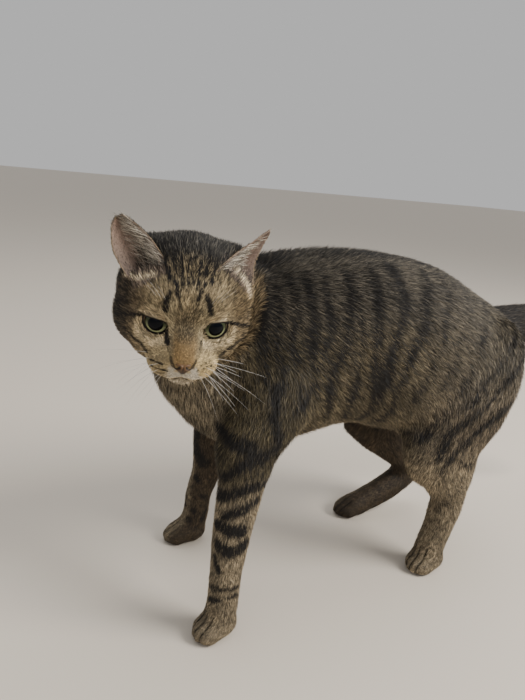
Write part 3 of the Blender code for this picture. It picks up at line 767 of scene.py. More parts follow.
def hairGrainGroup():
    # fine uneven tone and relief, as many thin hairs give; used by the coat, the skin and the ears
    group = bpy.data.node_groups.new("hairGrain", "ShaderNodeTree")
    for name, kind, way in (("Colour", "Color", "INPUT"), ("Size", "Float", "INPUT"),
                            ("Amount", "Float", "INPUT"), ("Colour", "Color", "OUTPUT"),
                            ("Height", "Float", "OUTPUT"), ("Roughness", "Float", "OUTPUT")):
        group.interface.new_socket(name=name, in_out=way, socket_type="NodeSocket" + kind)
    start = addNode(group, "NodeGroupInput", {}).outputs
    place = addNode(group, "ShaderNodeTexCoord", {}).outputs["Object"]
    noise = addNode(group, "ShaderNodeTexNoise", {"Detail": 4.0, "Vector": place, "Scale": start["Size"]})
    height = noise.outputs["Fac"]
    spread = addNode(group, "ShaderNodeMapRange", {"From Min": 0.3, "From Max": 0.7, "To Min": -1.0,
                                                   "To Max": 1.0, "Value": height})
    gain = addNode(group, "ShaderNodeMath", {0: spread.outputs["Result"], 1: start["Amount"], 2: 1.0})
    gain.operation = "MULTIPLY_ADD"
    tint = addNode(group, "ShaderNodeHueSaturation", {"Value": gain.outputs[0], "Color": start["Colour"]})
    rough = addNode(group, "ShaderNodeMapRange", {"To Min": 0.5, "To Max": 0.8, "Value": height})
    addNode(group, "NodeGroupOutput", {"Colour": tint.outputs["Color"], "Height": height,
                                       "Roughness": rough.outputs["Result"]})
    return group


def furMaterial(name, grain, size, amount, bump, specular):
    # the stored colour, made uneven and rough by the grain
    made, tree, shader = newMaterial(name)
    hairs = addNode(tree, "ShaderNodeGroup", {})
    hairs.node_tree = grain
    setInputs(tree, hairs, {"Size": size, "Amount": amount, "Colour": coatColour(tree)})
    relief = addNode(tree, "ShaderNodeBump", {"Strength": bump, "Distance": 0.0006,
                                              "Height": hairs.outputs["Height"]})
    setInputs(tree, shader, {"Base Color": hairs.outputs["Colour"], "Roughness": hairs.outputs["Roughness"],
                             "Normal": relief.outputs["Normal"], "Specular IOR Level": specular})
    return made


grain = hairGrainGroup()
finishes = {
    "skin": furMaterial("underCoat", grain, 900.0, 0.35, 0.6, 0.25),
    "fur": furMaterial("tabbyCoat", grain, 1500.0, 0.18, 0.25, 0.35),
    "ear": furMaterial("earLeather", grain, 1200.0, 0.2, 0.4, 0.35),
}


earShape = {"wall": 0.0013, "depth": {1: 0.0085, -1: 0.0125}, "round": 1.75, "skew": 1.25}
# the ears' edges in head axes, millimetres, from under the coat to the tip; the left ear, 1, is turned out
earEdges = {
    1: {
        "medial": mm([(15.5, 13.5, 34.5), (19, 18, 36.5), (29, 31, 41.5), (40, 41, 46.5), (46, 45.5, 50.5),
                      (52, 48.5, 54.5)]),
        "lateral": mm([(42.5, 22.5, 23.5), (42.5, 27, 27.5), (43.5, 35.5, 35), (48.5, 43.5, 45),
                       (51, 46.5, 49.5), (52.5, 48.5, 54)]),
    },
    -1: {
        "medial": mm([(-11, 13.5, 30), (-14.5, 16.5, 34), (-26, 26, 46), (-38, 31, 54), (-42.5, 32, 56.5),
                      (-45.5, 32.5, 57)]),
        "lateral": mm([(-35, 13, 19), (-39, 15, 23), (-48.5, 21.5, 36), (-51, 28, 48.5), (-50, 31, 53.5),
                       (-46.5, 32.5, 56.5)]),
    },
}


def earEdge(way, name, t):
    # a point on one edge at each share t of the way to the tip
    line = curveThrough(earEdges[way][name], 20)
    at = np.clip(t, 0, 1) * (len(line) - 1)
    return np.stack([np.interp(at, np.arange(len(line)), line[:, k]) for k in range(3)], axis=-1)


def earFoot(way):
    # halfway between the edges where they leave the coat
    return (earEdges[way]["medial"][1] + earEdges[way]["lateral"][1]) / 2


def earUp(way):
    # from the foot to the tip
    return earEdges[way]["medial"][-1] - earFoot(way)


def earSpin(way):
    # the ear's own axes as columns: across it, back through it, up to its tip
    up = unit(earUp(way))
    across = way * (earEdges[way]["lateral"][1] - earEdges[way]["medial"][1])
    across = unit(across - up * (across @ up))
    return np.stack([across, np.cross(up, across), up], axis=1)


def earBulge(way, t, u):
    # how far the sheet lies behind the line between its edges: none at them, most beyond the middle
    deep = earShape["depth"][way] * np.clip(1 - t, 0, 1) ** 0.75
    return deep * np.sin(math.pi * np.clip(u, 0, 1) ** earShape["skew"])


def earSheet(way, t, a, inset):
    # a curled sheet between the two edges, in head axes
    u = 0.5 + 0.5 * way * a / earShape["round"]
    inner, outer = earEdge(way, "medial", t), earEdge(way, "lateral", t)
    behind = earSpin(way)[:, 1] * (earBulge(way, t, u) - inset)[..., None]
    return inner + (outer - inner) * u[..., None] + behind


def earHollow(way, head):
    # 1 inside the ear's opening: between its edges and in front of its back wall, near its foot
    away = (head - earFoot(way)) @ earSpin(way)
    t = 0.2 + 0.8 * away[:, 2] / np.linalg.norm(earUp(way))
    inner, outer = earEdge(way, "medial", t), earEdge(way, "lateral", t)
    across = outer - inner
    u = ((head - inner) * across).sum(axis=1) / (across ** 2).sum(axis=1)
    behind = (head - inner - across * u[:, None]) @ earSpin(way)[:, 1]
    between = ease(-0.02, 0.12, u) * ease(1.02, 0.88, u) * (t > 0.02)
    return between * ease(0.004, -0.001, behind - earBulge(way, t, u)) * ease(-0.012, -0.008, behind)


skinMake = {"voxel": 0.0026, "grow": 0.0004, "soften": 8, "toeGroove": 0.0016}
fleshNodes = [n for n in sorted(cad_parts) if not n.startswith(("ear_", "eye_", "nose"))]


def joined(parts):
    # parts as one: the first of each part's arrays is its points, the second its faces
    starts = np.cumsum([0] + [len(part[0]) for part in parts])
    faces = np.concatenate([part[1] + start for part, start in zip(parts, starts)])
    others = (np.concatenate([part[k] for part in parts]) for k in range(2, len(parts[0])))
    return np.concatenate([part[0] for part in parts]), faces, *others


def mergedCopy(node, grow):
    # a node's points and triangles with its loose corners merged, pushed out a little, in the cat's axes
    shape = bmesh.new()
    shape.from_mesh(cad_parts[node].data)
    bmesh.ops.remove_doubles(shape, verts=shape.verts, dist=1e-6)
    mesh = bpy.data.meshes.new(node + "Copy")
    shape.to_mesh(mesh)
    shape.free()
    points, triangles = meshArrays(mesh)
    bpy.data.meshes.remove(mesh)
    return points + normalsOf(points, triangles) * grow - toFrame, triangles


def fusedFlesh():
    # every flesh node as one smooth closed surface, in the frame's axes
    copies = [mergedCopy(node, skinMake["grow"]) for node in fleshNodes + ["eye_left", "eye_right", "nose"]]
    rough = meshObject("roughSkin", *joined(copies))
    remesh = rough.modifiers.new("fuse", "REMESH")
    remesh.mode = "VOXEL"
    remesh.voxel_size = skinMake["voxel"]
    soften = rough.modifiers.new("soften", "SMOOTH")
    soften.factor = 0.5
    soften.iterations = skinMake["soften"]
    graph = bpy.context.evaluated_depsgraph_get()
    mesh = bpy.data.meshes.new_from_object(rough.evaluated_get(graph))
    bpy.data.objects.remove(rough)
    return mesh


def refined(mesh, chosen):
    # splits every edge of the chosen faces; chosen says which, from the faces' middles in the cat's axes
    shape = bmesh.new()
    shape.from_mesh(mesh)
    middles = np.array([face.calc_center_median() for face in shape.faces]) - toFrame
    picked = chosen(middles)
    faces = [face for face, wanted in zip(shape.faces, picked) if wanted]
    edges = list({edge for face in faces for edge in face.edges})
    bmesh.ops.subdivide_edges(shape, edges=edges, cuts=1, use_grid_fill=True)
    bmesh.ops.triangulate(shape, faces=[face for face in shape.faces if len(face.verts) > 4])
    shape.to_mesh(mesh)
    shape.free()
    return mesh


def facePlace(points):
    # the front of the head, refined once
    head = toHead(points)
    near = np.linalg.norm(head - mm((0, 20, 0)), axis=1) < 0.062
    return (head[:, 1] < 0.03) & near & (head[:, 2] > -0.05)


def finePlace(points):
    # eyes, nose and mouth, refined twice
    head = toHead(points)
    near = np.linalg.norm(head - mm((0, 0, -8)), axis=1) < 0.042
    return (head[:, 1] < 0.012) & near & (head[:, 2] > -0.046)


def pawPlace(points):
    # the toes
    return np.any([np.linalg.norm(pawAxes(points, foot), axis=1) < 30 for foot in feet.values()], axis=0)


lids = {"turn": 14.0, "rise": -2.0, "half": 0.0086, "tilt": 0.08, "upper": {1: 0.0046, -1: 0.0037},
        "lower": {1: 0.0066, -1: 0.0061}, "socket": 0.0086, "sink": 0.006}


def eyeAxes(way):
    # rows: outwards along the lids, up, and straight ahead out of the eye
    turn, rise = math.radians(lids["turn"]), math.radians(lids["rise"])
    level = math.cos(rise)
    ahead = np.array((way * math.sin(turn) * level, -math.cos(turn) * level, math.sin(rise)))
    out = unit(np.cross(ahead, (0, 0, 1.0)) * -way)
    out = out if out[0] * way > 0 else -out
    up = unit(np.cross(out, ahead))
    return np.stack([out, up if up[2] > 0 else -up, ahead])


def sculptHead(points):
    # head skin: the forms' surface less the coat's depth, with the mouth, sockets and ears' hollows sunk in
    head = toHead(points)
    inner = ease(0.075, 0.066, np.linalg.norm(head - mm((0, 20, 0)), axis=1))
    share = ease(0.0085, 0.004, headField(head)) * inner
    chosen = share > 0
    placed = ontoHead(head[chosen], headCoatDepth(head[chosen]))
    slope = unit(headSlope(placed))
    press = 0.0013 * hill(mouthFar(placed), 0, 0.0011) + 0.0009 * hill(philtrumFar(placed), 0, 0.0009)
    front = placed[:, 1] < 0.004
    placed = placed - slope * (press * front)[:, None]
    for way in (-1, 1):
        # a socket round the eyeball, wider than the lids' opening
        axes = eyeAxes(way)
        out, up, ahead = ((placed - eyeMiddle(way)) @ axes.T).T
        inside = np.hypot(out / (lids["half"] + 0.0016), (up + 0.0005) / lids["socket"])
        sink = lids["sink"] * ease(1.05, 0.8, inside) * (ahead > 0)
        placed = placed - sink[:, None] * axes[2]
        # the ear's hollow: the crown sinks behind the front of the opening
        spin = earSpin(way)
        local = (placed - earFoot(way)) @ spin
        floor = 0.006 * ease(0.0, -0.01, local[:, 1])
        sink = np.maximum(local[:, 2] - floor, 0) * earHollow(way, placed)
        placed = placed - sink[:, None] * spin[:, 2]
    sculpted = points.copy()
    sculpted[chosen] = mix(points[chosen], fromHead(placed), share[chosen])
    return sculpted, share


def makeSkin():
    # the fused flesh, sunk by the coat's depth, with the head sculpted and the rest smoothed
    mesh = fusedFlesh()
    for chosen in (facePlace, pawPlace, finePlace):
        mesh = refined(mesh, chosen)
    points, triangles = meshArrays(mesh)
    bpy.data.meshes.remove(mesh)
    points = points - toFrame
    sculpted, share = sculptHead(points)
    groove = toeGroove(points) * ease(0.001, 0.006, points[:, 2])
    sole = ease(0.001, 0.004, points[:, 2])
    depth = (bodyMap(points)["depth"] * sole + skinMake["toeGroove"] * groove) * (1 - share)
    points = mix(points - normalsOf(points, triangles) * depth[:, None], sculpted, share)
    loose = (1 - share) * (1 - ease(0.05, 0.2, groove))
    points = relaxed(points, triangles, 4, 0.5 * loose)
    points = relaxed(points, triangles, 2, 0.4 * ease(0.0, 0.3, share) * ease(1.0, 0.7, share))
    points[:, 2] = np.maximum(points[:, 2], 0)
    return points, triangles


print("skin: fusing the flesh")
skinPoints, skinTriangles = makeSkin()
print("skin:", len(skinPoints), "points", len(skinTriangles), "triangles")


def lidEdge(way, angle, grow):
    # the almond opening grown by so much, as places across and up on the eye's front
    c, s = np.cos(angle), np.sin(angle)
    across = (lids["half"] + grow) * c
    high = np.where(s > 0, lids["upper"][way], lids["lower"][way]) + grow
    taper = np.where(s > 0, 1.12 - 0.12 * np.abs(s), 1 - 0.2 * np.abs(c) ** 7)
    return across, high * s * taper + lids["tilt"] * across - 0.0012 * ease(0.4, 1.0, -c)


def makeLids(way):
    # a band round the opening: from inside the ball, over the lid's rim, out onto the face
    rounds, steps = 112, 16
    angle, v = np.meshgrid(np.linspace(0, 2 * math.pi, rounds, endpoint=False), np.linspace(0, 1, steps))
    grow = np.interp(v, [0, 0.1, 0.17, 0.26, 1.0], [-0.0004, 0.0, 0.0002, 0.0006, 0.0056])
    lift = np.interp(v, [0, 0.1, 0.17, 0.26, 0.5, 1.0], [-0.0006, 0.0002, 0.0008, 0.001, 0.0009, 0.0])
    across, up = lidEdge(way, angle, grow)
    ball = eyeball["radius"]
    ahead = np.sqrt(np.maximum(ball ** 2 - across ** 2 - up ** 2, (0.35 * ball) ** 2))
    onBall = unit(np.stack([across, up, ahead], axis=-1)) * (ball + lift)[..., None]
    points = (onBall @ eyeAxes(way)).reshape(-1, 3) + eyeMiddle(way)
    flat = v.reshape(-1)
    onFace = ontoHead(points, headCoatDepth(points) + 0.0012 * ease(0.85, 1.0, flat), 6)
    points = mix(points, onFace, ease(0.3, 0.95, flat))
    return fromHead(points), halved(gridFaces(steps, rounds, flip=way > 0)), ease(0.34, 0.22, flat)


# the skin and both pairs of lids as one mesh, with the lids' rims told apart
skinPart = (skinPoints, skinTriangles, np.zeros(len(skinPoints)))
bodyPoints, bodyTriangles, lidRims = joined([skinPart, makeLids(-1), makeLids(1)])
bodyInfo = bodyMap(bodyPoints)
bodyColours = mix(skinColours(bodyPoints, bodyInfo), tones["lidRim"], ease(0.0, 0.5, lidRims))
skin = meshObject("skin", bodyPoints, bodyTriangles, bodyColours, finishes["skin"])
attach(skin, "root")
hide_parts(*fleshNodes)


def makeEar(way):
    # outer and inner sheets joined over a round rim, as one closed grid
    rows, columns = 44, 56
    t, a = np.meshgrid(np.linspace(0, 1, rows), np.linspace(-earShape["round"], earShape["round"], columns),
                       indexing="ij")
    edge = np.abs(a) / earShape["round"]
    wall = earShape["wall"] * (1 - 0.45 * t) * (0.35 + 0.65 * ease(1.0, 0.8, edge)) * ease(1.05, 0.9, t)
    ridge = 0.001 * np.cos(a * 5) * ease(0.55, 0.1, t) * ease(1.5, 0.8, np.abs(a))
    outer = earSheet(way, t, a, 0)
    inner = earSheet(way, t, a, wall) - ridge[..., None] * earSpin(way)[:, 1]
    points = fromHead(np.concatenate([outer, inner[:, ::-1]], axis=1).reshape(-1, 3))
    top = (rows - 1) * 2 * columns
    k = np.arange(columns - 1)
    cap = np.stack([k, k + 1, 2 * columns - 2 - k, 2 * columns - 1 - k], axis=1) + top
    triangles = halved(np.concatenate([gridFaces(rows, 2 * columns), cap]))
    shares = {"t": (t, t), "a": (a, a), "inner": (0 * t, 0 * t + 1)}
    return points, triangles, {key: np.concatenate([one, other[:, ::-1]], axis=1).ravel()
                               for key, (one, other) in shares.items()}


def earColours(shares):
    # bare brown inside with painted shade deep in the hollow, dark behind, pale along the edge
    t = shares["t"]
    edge = np.maximum(ease(0.93, 0.995, np.abs(shares["a"]) / earShape["round"]), ease(0.965, 1.0, t))
    inside = mix(tones["earMiddle"], tones["earUpper"], ease(0.1, 0.6, t))
    # painted shade: darker deep in the hollow, towards the ear's foot
    inside = mix(inside, tones["earHollowShade"], ease(0.45, 0.05, t))
    back = mix(tones["earSkin"], tones["earSkinFoot"], ease(0.2, 0.0, t))
    return mix(mix(back, inside, shares["inner"]), tones["earRim"], 0.8 * edge)


earParts = {}
for way, side in ((1, "left"), (-1, "right")):
    earParts[way] = points, triangles, shares = makeEar(way)
    ear = meshObject("ear" + side.capitalize(), points, triangles, earColours(shares), finishes["ear"])
    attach(ear, "root")
    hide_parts("ear_" + side)
print("ears made")


# the iris and pupil in degrees from the line of sight, and where the iris sits across and up on the ball
eyeLook = {"iris": 42.0, "pupil": 26.0, "cornea": 0.0011,
           "gaze": {1: (-0.0003, 0.001), -1: (-0.0006, 0.0008)}}


def eyeMaterial():
    # a wet, smooth ball in its stored colours
    made, tree, shader = newMaterial("eye")
    setInputs(tree, shader, {"Base Color": coatColour(tree), "Roughness": 0.12, "Coat Weight": 0.06,
                             "Coat Roughness": 0.02, "Specular IOR Level": 0.08})
    return made


def makeEye(way):
    # a ball of rings round the line of sight, raised over the iris into the cornea
    columns = 96
    rings = np.radians(np.concatenate([np.linspace(0.4, 47, 90), np.linspace(50, 177, 34)]))
    theta, phi = np.meshgrid(rings, np.linspace(0, 2 * math.pi, columns, endpoint=False), indexing="ij")
    edge = math.radians(eyeLook["iris"] + 3)
    raised = np.clip((np.cos(theta) - math.cos(edge)) / (1 - math.cos(edge)), 0, 1)
    radius = eyeball["radius"] - 0.0001 + eyeLook["cornea"] * raised ** 1.2
    axes = eyeAxes(way)
    across, up = eyeLook["gaze"][way]
    ahead = unit(np.array((across, up, eyeball["radius"])) @ axes)
    out = unit(np.cross((0, 0, 1.0), ahead))
    rise = np.cross(ahead, out)
    local = (ahead * np.cos(theta)[..., None] + out * (np.sin(theta) * np.cos(phi))[..., None]
             + rise * (np.sin(theta) * np.sin(phi))[..., None])
    points = fromHead((local * radius[..., None]).reshape(-1, 3) + eyeMiddle(way))
    ends = []
    for ring, turned in ((0, True), (len(rings) - 1, False)):
        k = np.arange(1, columns - 1)
        fan = np.stack([0 * k, k, k + 1], axis=1) + ring * columns
        ends.append(fan[:, ::-1] if turned else fan)
    degrees = np.degrees(theta).ravel()
    angle = phi.ravel()
    fibre = np.cos(angle * 61 + 3 * np.sin(angle * 7)) * np.cos(angle * 23 + 2 * np.sin(angle * 5))
    # painted shade and light: the iris darker at the top in the lid's shadow and lighter in the lower
    # crescent, where light falls
    low = 0.5 - 0.5 * np.sin(angle)
    share = (degrees - eyeLook["pupil"]) / (eyeLook["iris"] - eyeLook["pupil"])
    iris = mix(tones["irisLidShadow"], tones["irisLitCrescent"], ease(0.35, 1.0, low))
    iris = iris * (0.8 + 0.3 * (0.5 + 0.5 * fibre) * hill(share, 0.5, 0.45))[:, None]
    iris = mix(iris, tones["irisInner"], 0.5 * ease(0.18, 0.0, share))
    colour = mix(tones["pupil"], iris, ease(-0.02, 0.05, share))
    colour = mix(colour, tones["irisRim"], ease(0.84, 1.0, share))
    colour = mix(colour, tones["eyeWhite"], ease(1.25, 1.6, share))
    return points, np.concatenate([halved(gridFaces(len(rings), columns)), *ends]), colour


eyeFinish = eyeMaterial()
for way, side in ((1, "left"), (-1, "right")):
    eye = meshObject("eye" + side.capitalize(), *makeEye(way), eyeFinish)
    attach(eye, "root")
    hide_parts("eye_" + side)
print("eyes made")


def noseMaterial():
    # damp leather with a pebbled relief
    made, tree, shader = newMaterial("noseLeather")
    place = addNode(tree, "ShaderNodeTexCoord", {}).outputs["Object"]
    pebbles = addNode(tree, "ShaderNodeTexVoronoi", {"Scale": 2200.0, "Vector": place}).outputs["Distance"]
    relief = addNode(tree, "ShaderNodeBump", {"Strength": 0.35, "Distance": 0.0002, "Height": pebbles})
    rough = addNode(tree, "ShaderNodeMapRange", {"To Min": 0.38, "To Max": 0.55, "Value": pebbles})
    setInputs(tree, shader, {"Base Color": coatColour(tree), "Normal": relief.outputs["Normal"],
                             "Roughness": rough.outputs["Result"], "Specular IOR Level": 0.5})
    return made


nosePad = {"middle": (0, -17, -19.7), "size": (6.4, 5.2, 5.2)}      # millimetres


def makeNose():
    # a rounded heart: wide above, narrowing to the philtrum, with a comma-shaped nostril on each side
    rows, columns = 72, 96
    theta, phi = np.meshgrid(np.linspace(0.02, math.pi - 0.02, rows),
                             np.linspace(0, 2 * math.pi, columns, endpoint=False), indexing="ij")
    ball = np.stack([np.sin(theta) * np.cos(phi), -np.cos(theta), np.sin(theta) * np.sin(phi)], axis=-1)
    ball = ball.reshape(-1, 3)
    x, z = ball.T[[0, 2]]
    size = ball * mm(nosePad["size"])
    size[:, 0] *= 1 - 0.52 * ease(0.1, -0.95, z)
    size[:, 1] += 0.0012 * ease(0.2, 1.0, z)
    size[:, 2] -= 0.0006 * hill(x, 0, 0.35) * ease(-0.2, 0.8, z)
    comma = nearPath(mirroredHead(size), mm([(2.4, -4.6, 0), (3.6, -4, -0.3), (5, -2.2, 0.7)]))[0]
    hole = ease(0.0013, 0.0005, comma)
    groove = hill(size[:, 0], 0, 0.0005) * ease(0.001, -0.001, size[:, 2]) * (size[:, 1] < 0)
    size[:, 1] += 0.0016 * hole + 0.0005 * groove
    wing = hill(comma, 0.0017, 0.0006) * (size[:, 2] > -0.002)
    size = size + unit(size) * (0.00035 * wing)[:, None]
    points = fromHead(size @ rotation((-18, 0, 0)).T + mm(nosePad["middle"]))
    rim = ease(0.55, 0.95, np.linalg.norm(ball[:, [0, 2]], axis=1))
    colour = mix(tones["noseUpper"], tones["noseLower"], ease(0.3, -0.6, z))
    colour = mix(colour, tones["noseRim"], 0.9 * rim)
    colour = mix(colour, tones["nostril"], np.maximum(hole, 0.6 * groove))
    return points, halved(gridFaces(rows, columns, flip=True)), colour


nose = meshObject("noseLeather", *makeNose(), noseMaterial())
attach(nose, "root")
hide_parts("nose")
print("nose made")


coatPieces = {
    "coatFace": ["head"], "coatNeck": ["neck", "throat"], "coatTail": ["tail"],
    "coatPaws": ["forePawLeft", "forePawRight", "hindPawLeft", "hindPawRight"],
}
for side in ("Left", "Right"):
    coatPieces["coatForeleg" + side] = ["upperFore" + side, "fore" + side]
    coatPieces["coatThigh" + side] = ["thigh" + side]
    coatPieces["coatShank" + side] = ["shank" + side, "hindFoot" + side]
tuftShape = {"middle": 0.42, "bakePatch": 0.003, "sink": 0.0003, "floor": 0.0004, "share": 1.66,
             "turn": 0.17, "roll": 0.35, "rise": 4.5, "bend": 0.06}      # the last four are spreads


def scattered(points, triangles, density, seed):
    # random places on the triangles, so many to the square metre as each one's density says: the places,
    # which triangle each lies on, and the weights of its corners there
    rng = np.random.default_rng(seed)
    corners = points[triangles]
    a, b, c = corners.transpose(1, 0, 2)
    expected = np.linalg.norm(np.cross(b - a, c - a), axis=1) / 2 * density
    count = np.floor(expected + rng.uniform(size=len(expected))).astype(int)
    chosen = np.repeat(np.arange(len(triangles)), count)
    u, v = rng.uniform(size=(2, len(chosen)))
    over = u + v > 1
    u, v = np.where(over, 1 - u, u), np.where(over, 1 - v, v)
    weights = np.stack([1 - u - v, u, v], axis=1)[..., None]
    return (corners[chosen] * weights).sum(axis=1), chosen, weights


def tufts(roots, normals, ways, length, width, lift, seed):
    # each tuft is a folded kite that rises from a narrow foot, then bends to lie along the coat
    rng = np.random.default_rng(seed)
    n = len(roots)
    flat = unit(ways - (ways * normals).sum(axis=1)[:, None] * normals)
    side = np.cross(normals, flat)
    turn = rng.normal(0, tuftShape["turn"], n)[:, None]
    flat, side = flat * np.cos(turn) + side * np.sin(turn), side * np.cos(turn) - flat * np.sin(turn)
    roll = rng.normal(0, tuftShape["roll"], n)[:, None]
    long = (length * rng.uniform(0.72, 1.22, n))[:, None]
    wide = (width * rng.uniform(0.7, 1.25, n))[:, None] / 2
    blade = (side * np.cos(roll) + normals * np.sin(roll)) * wide
    angle = np.radians(lift + rng.normal(0, tuftShape["rise"], n))[:, None]
    side = side * rng.normal(0, tuftShape["bend"], n)[:, None]
    base = roots - normals * tuftShape["sink"]
    t = tuftShape["middle"]
    along, up = flat * np.cos(angle), normals * np.sin(angle)
    middle = base + long * (along * t + up * 1.25 * t + side * t * t)
    tip = base + long * (along + up * 0.98 + side)
    points = np.stack([base, middle - blade, middle + blade, tip], axis=1)
    points[..., 2] = np.maximum(points[..., 2], tuftShape["floor"])
    faces = np.array([(0, 2, 1), (1, 2, 3)]) + 4 * np.arange(n)[:, None, None]
    return points.reshape(-1, 3), faces.reshape(-1, 3)


def tuftColours(light, dark, tipDark, seed):
    # ticked fur: a dark foot, a band and a tip; dark tufts come more often inside a marking
    rng = np.random.default_rng(seed)
    draw = rng.uniform(size=len(dark))
    shade = rng.uniform(0.5, 1.5, len(dark))[:, None]
    bands = []
    for mark, gain in ((dark, 0.9), (tipDark, 1.45)):
        isDark = (draw < 0.36 + 0.6 * mark)[:, None]
        lightTuft = light * shade * gain * mix(1.0, 0.55, mark)[:, None]
        darkTuft = mix(light * 0.26, tones["dark"], ease(0.15, 0.75, mark)) * shade
        bands.append(np.where(isDark, darkTuft, lightTuft))
    middle, tip = bands
    return np.stack([mix(tones["root"], middle, 0.45), middle, middle * 1.05, tip], axis=1).reshape(-1, 3)


def unwrapped(info, names):
    # the bones' own cylinders laid side by side: along the bone across the square, round it upwards
    row = sum(k * inRegion(info, name) for k, name in enumerate(names))
    along, around = np.clip(info["place"], 0, 1).T * 0.98 + 0.01
    return np.stack([along, (around + row) / len(names) * 0.98 + 0.01], axis=1)


def tuftUv(places):
    # a small patch at each root: across the tuft and along it
    size = tuftShape["bakePatch"]
    local = np.array([(0, -0.5), (-0.5, 0.0), (0.5, 0.0), (0, 0.5)]) * size
    return (places[:, None] + local[None]).reshape(-1, 2)


def coatRoots():
    # the whole coat's roots and their normals: none on the eyes, nose, rims and soles, few in the ears
    middles = bodyPoints[bodyTriangles].mean(axis=1)
    info = bodyMap(middles)
    density = info["density"]
    head = info["head"]
    onHead = info["headShare"] > 0.5
    bald = np.linalg.norm((head - mm(nosePad["middle"])) * (1, 0.7, 1), axis=1) < 0.0056
    bald |= lidRims[bodyTriangles].max(axis=1) > 0.02
    isLid = np.arange(len(bodyTriangles)) >= len(skinTriangles)
    for way in (-1, 1):
        out, up, ahead = ((head - eyeMiddle(way)) @ eyeAxes(way).T).T
        inside = np.hypot(out / (lids["half"] + 0.0014), (up - lids["tilt"] * out) / lids["socket"]) < 1
        bald |= inside & (ahead > 0) & ~isLid
        density = density * (1 - 0.75 * earHollow(way, head) * onHead * (1 - facePale(head)["patch"]))
    density = density * (1 - onHead * ease(0.0014, 0.0005, mouthFar(head)))
    density = np.where(onHead & bald, 0, density) * ease(0.0008, 0.003, middles[:, 2]) * tuftShape["share"]
    roots, chosen, weights = scattered(bodyPoints, bodyTriangles, density, 501)
    normals = normalsOf(bodyPoints, bodyTriangles)[bodyTriangles[chosen]]
    return roots, unit((normals * weights).sum(axis=1))


def makeCoat():
    # the whole coat is worked out at once, then made piece by piece
    roots, normals = coatRoots()
    info = bodyMap(roots)
    seen, ends = (roots + info["way"] * (info["length"] * share)[:, None] for share in (0.35, 0.85))
    light, dark = coatTones(seen, {**info, "head": toHead(seen)})
    tipDark = coatTones(ends, {**info, "head": toHead(ends)})[1]
    ticking = mix(0.3, 0.18, info["headShare"]) * waves(seen, 0.0028, 33)      # small locks catch the light
    light = light * (1 + ticking)[:, None]
    groups = {name: (inRegion(info, *regions), regions) for name, regions in coatPieces.items()}
    third = np.minimum((info["place"][:, 0] * 3).astype(int), 2)
    for k, part in enumerate(("Shoulder", "Ribs", "Loin")):
        for side, chosen in (("Left", roots[:, 0] > 0), ("Right", roots[:, 0] <= 0)):
            groups["coat" + part + side] = (inRegion(info, "trunk") & (third == k) & chosen, ["trunk"])
    face = groups["coatFace"][0]
    front = info["head"][:, 1] < 0.022
    groups["coatFace"] = (face & front, ["head"])
    groups["coatCrown"] = (face & ~front, ["head"])
    y, z = roots.T[1:]
    withers = ease(0.236, 0.254, z) * ease(0.15, 0.08, y) * ease(0.005, 0.025, y)
    raised = np.random.default_rng(77).uniform(size=len(roots)) < 0.3      # some stand up along the withers
    info["lift"] = info["lift"] + 20 * withers * raised
    total = 0
    for seed, (name, (chosen, regions)) in enumerate(sorted(groups.items())):
        index = np.nonzero(chosen)[0]
        part = {key: value[index] for key, value in info.items()}
        points, faces = tufts(roots[index], normals[index], part["way"], part["length"], part["width"],
                              part["lift"], 600 + seed)
        colours = tuftColours(light[index], dark[index], tipDark[index], 700 + seed)
        piece = meshObject(name, points, faces, colours, finishes["fur"], tuftUv(unwrapped(part, regions)))
        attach(piece, "root")
        total += len(faces)
        print("coat:", name, len(index), "tufts", len(faces), "triangles")
    print("coat:", total, "triangles in all")


makeCoat()


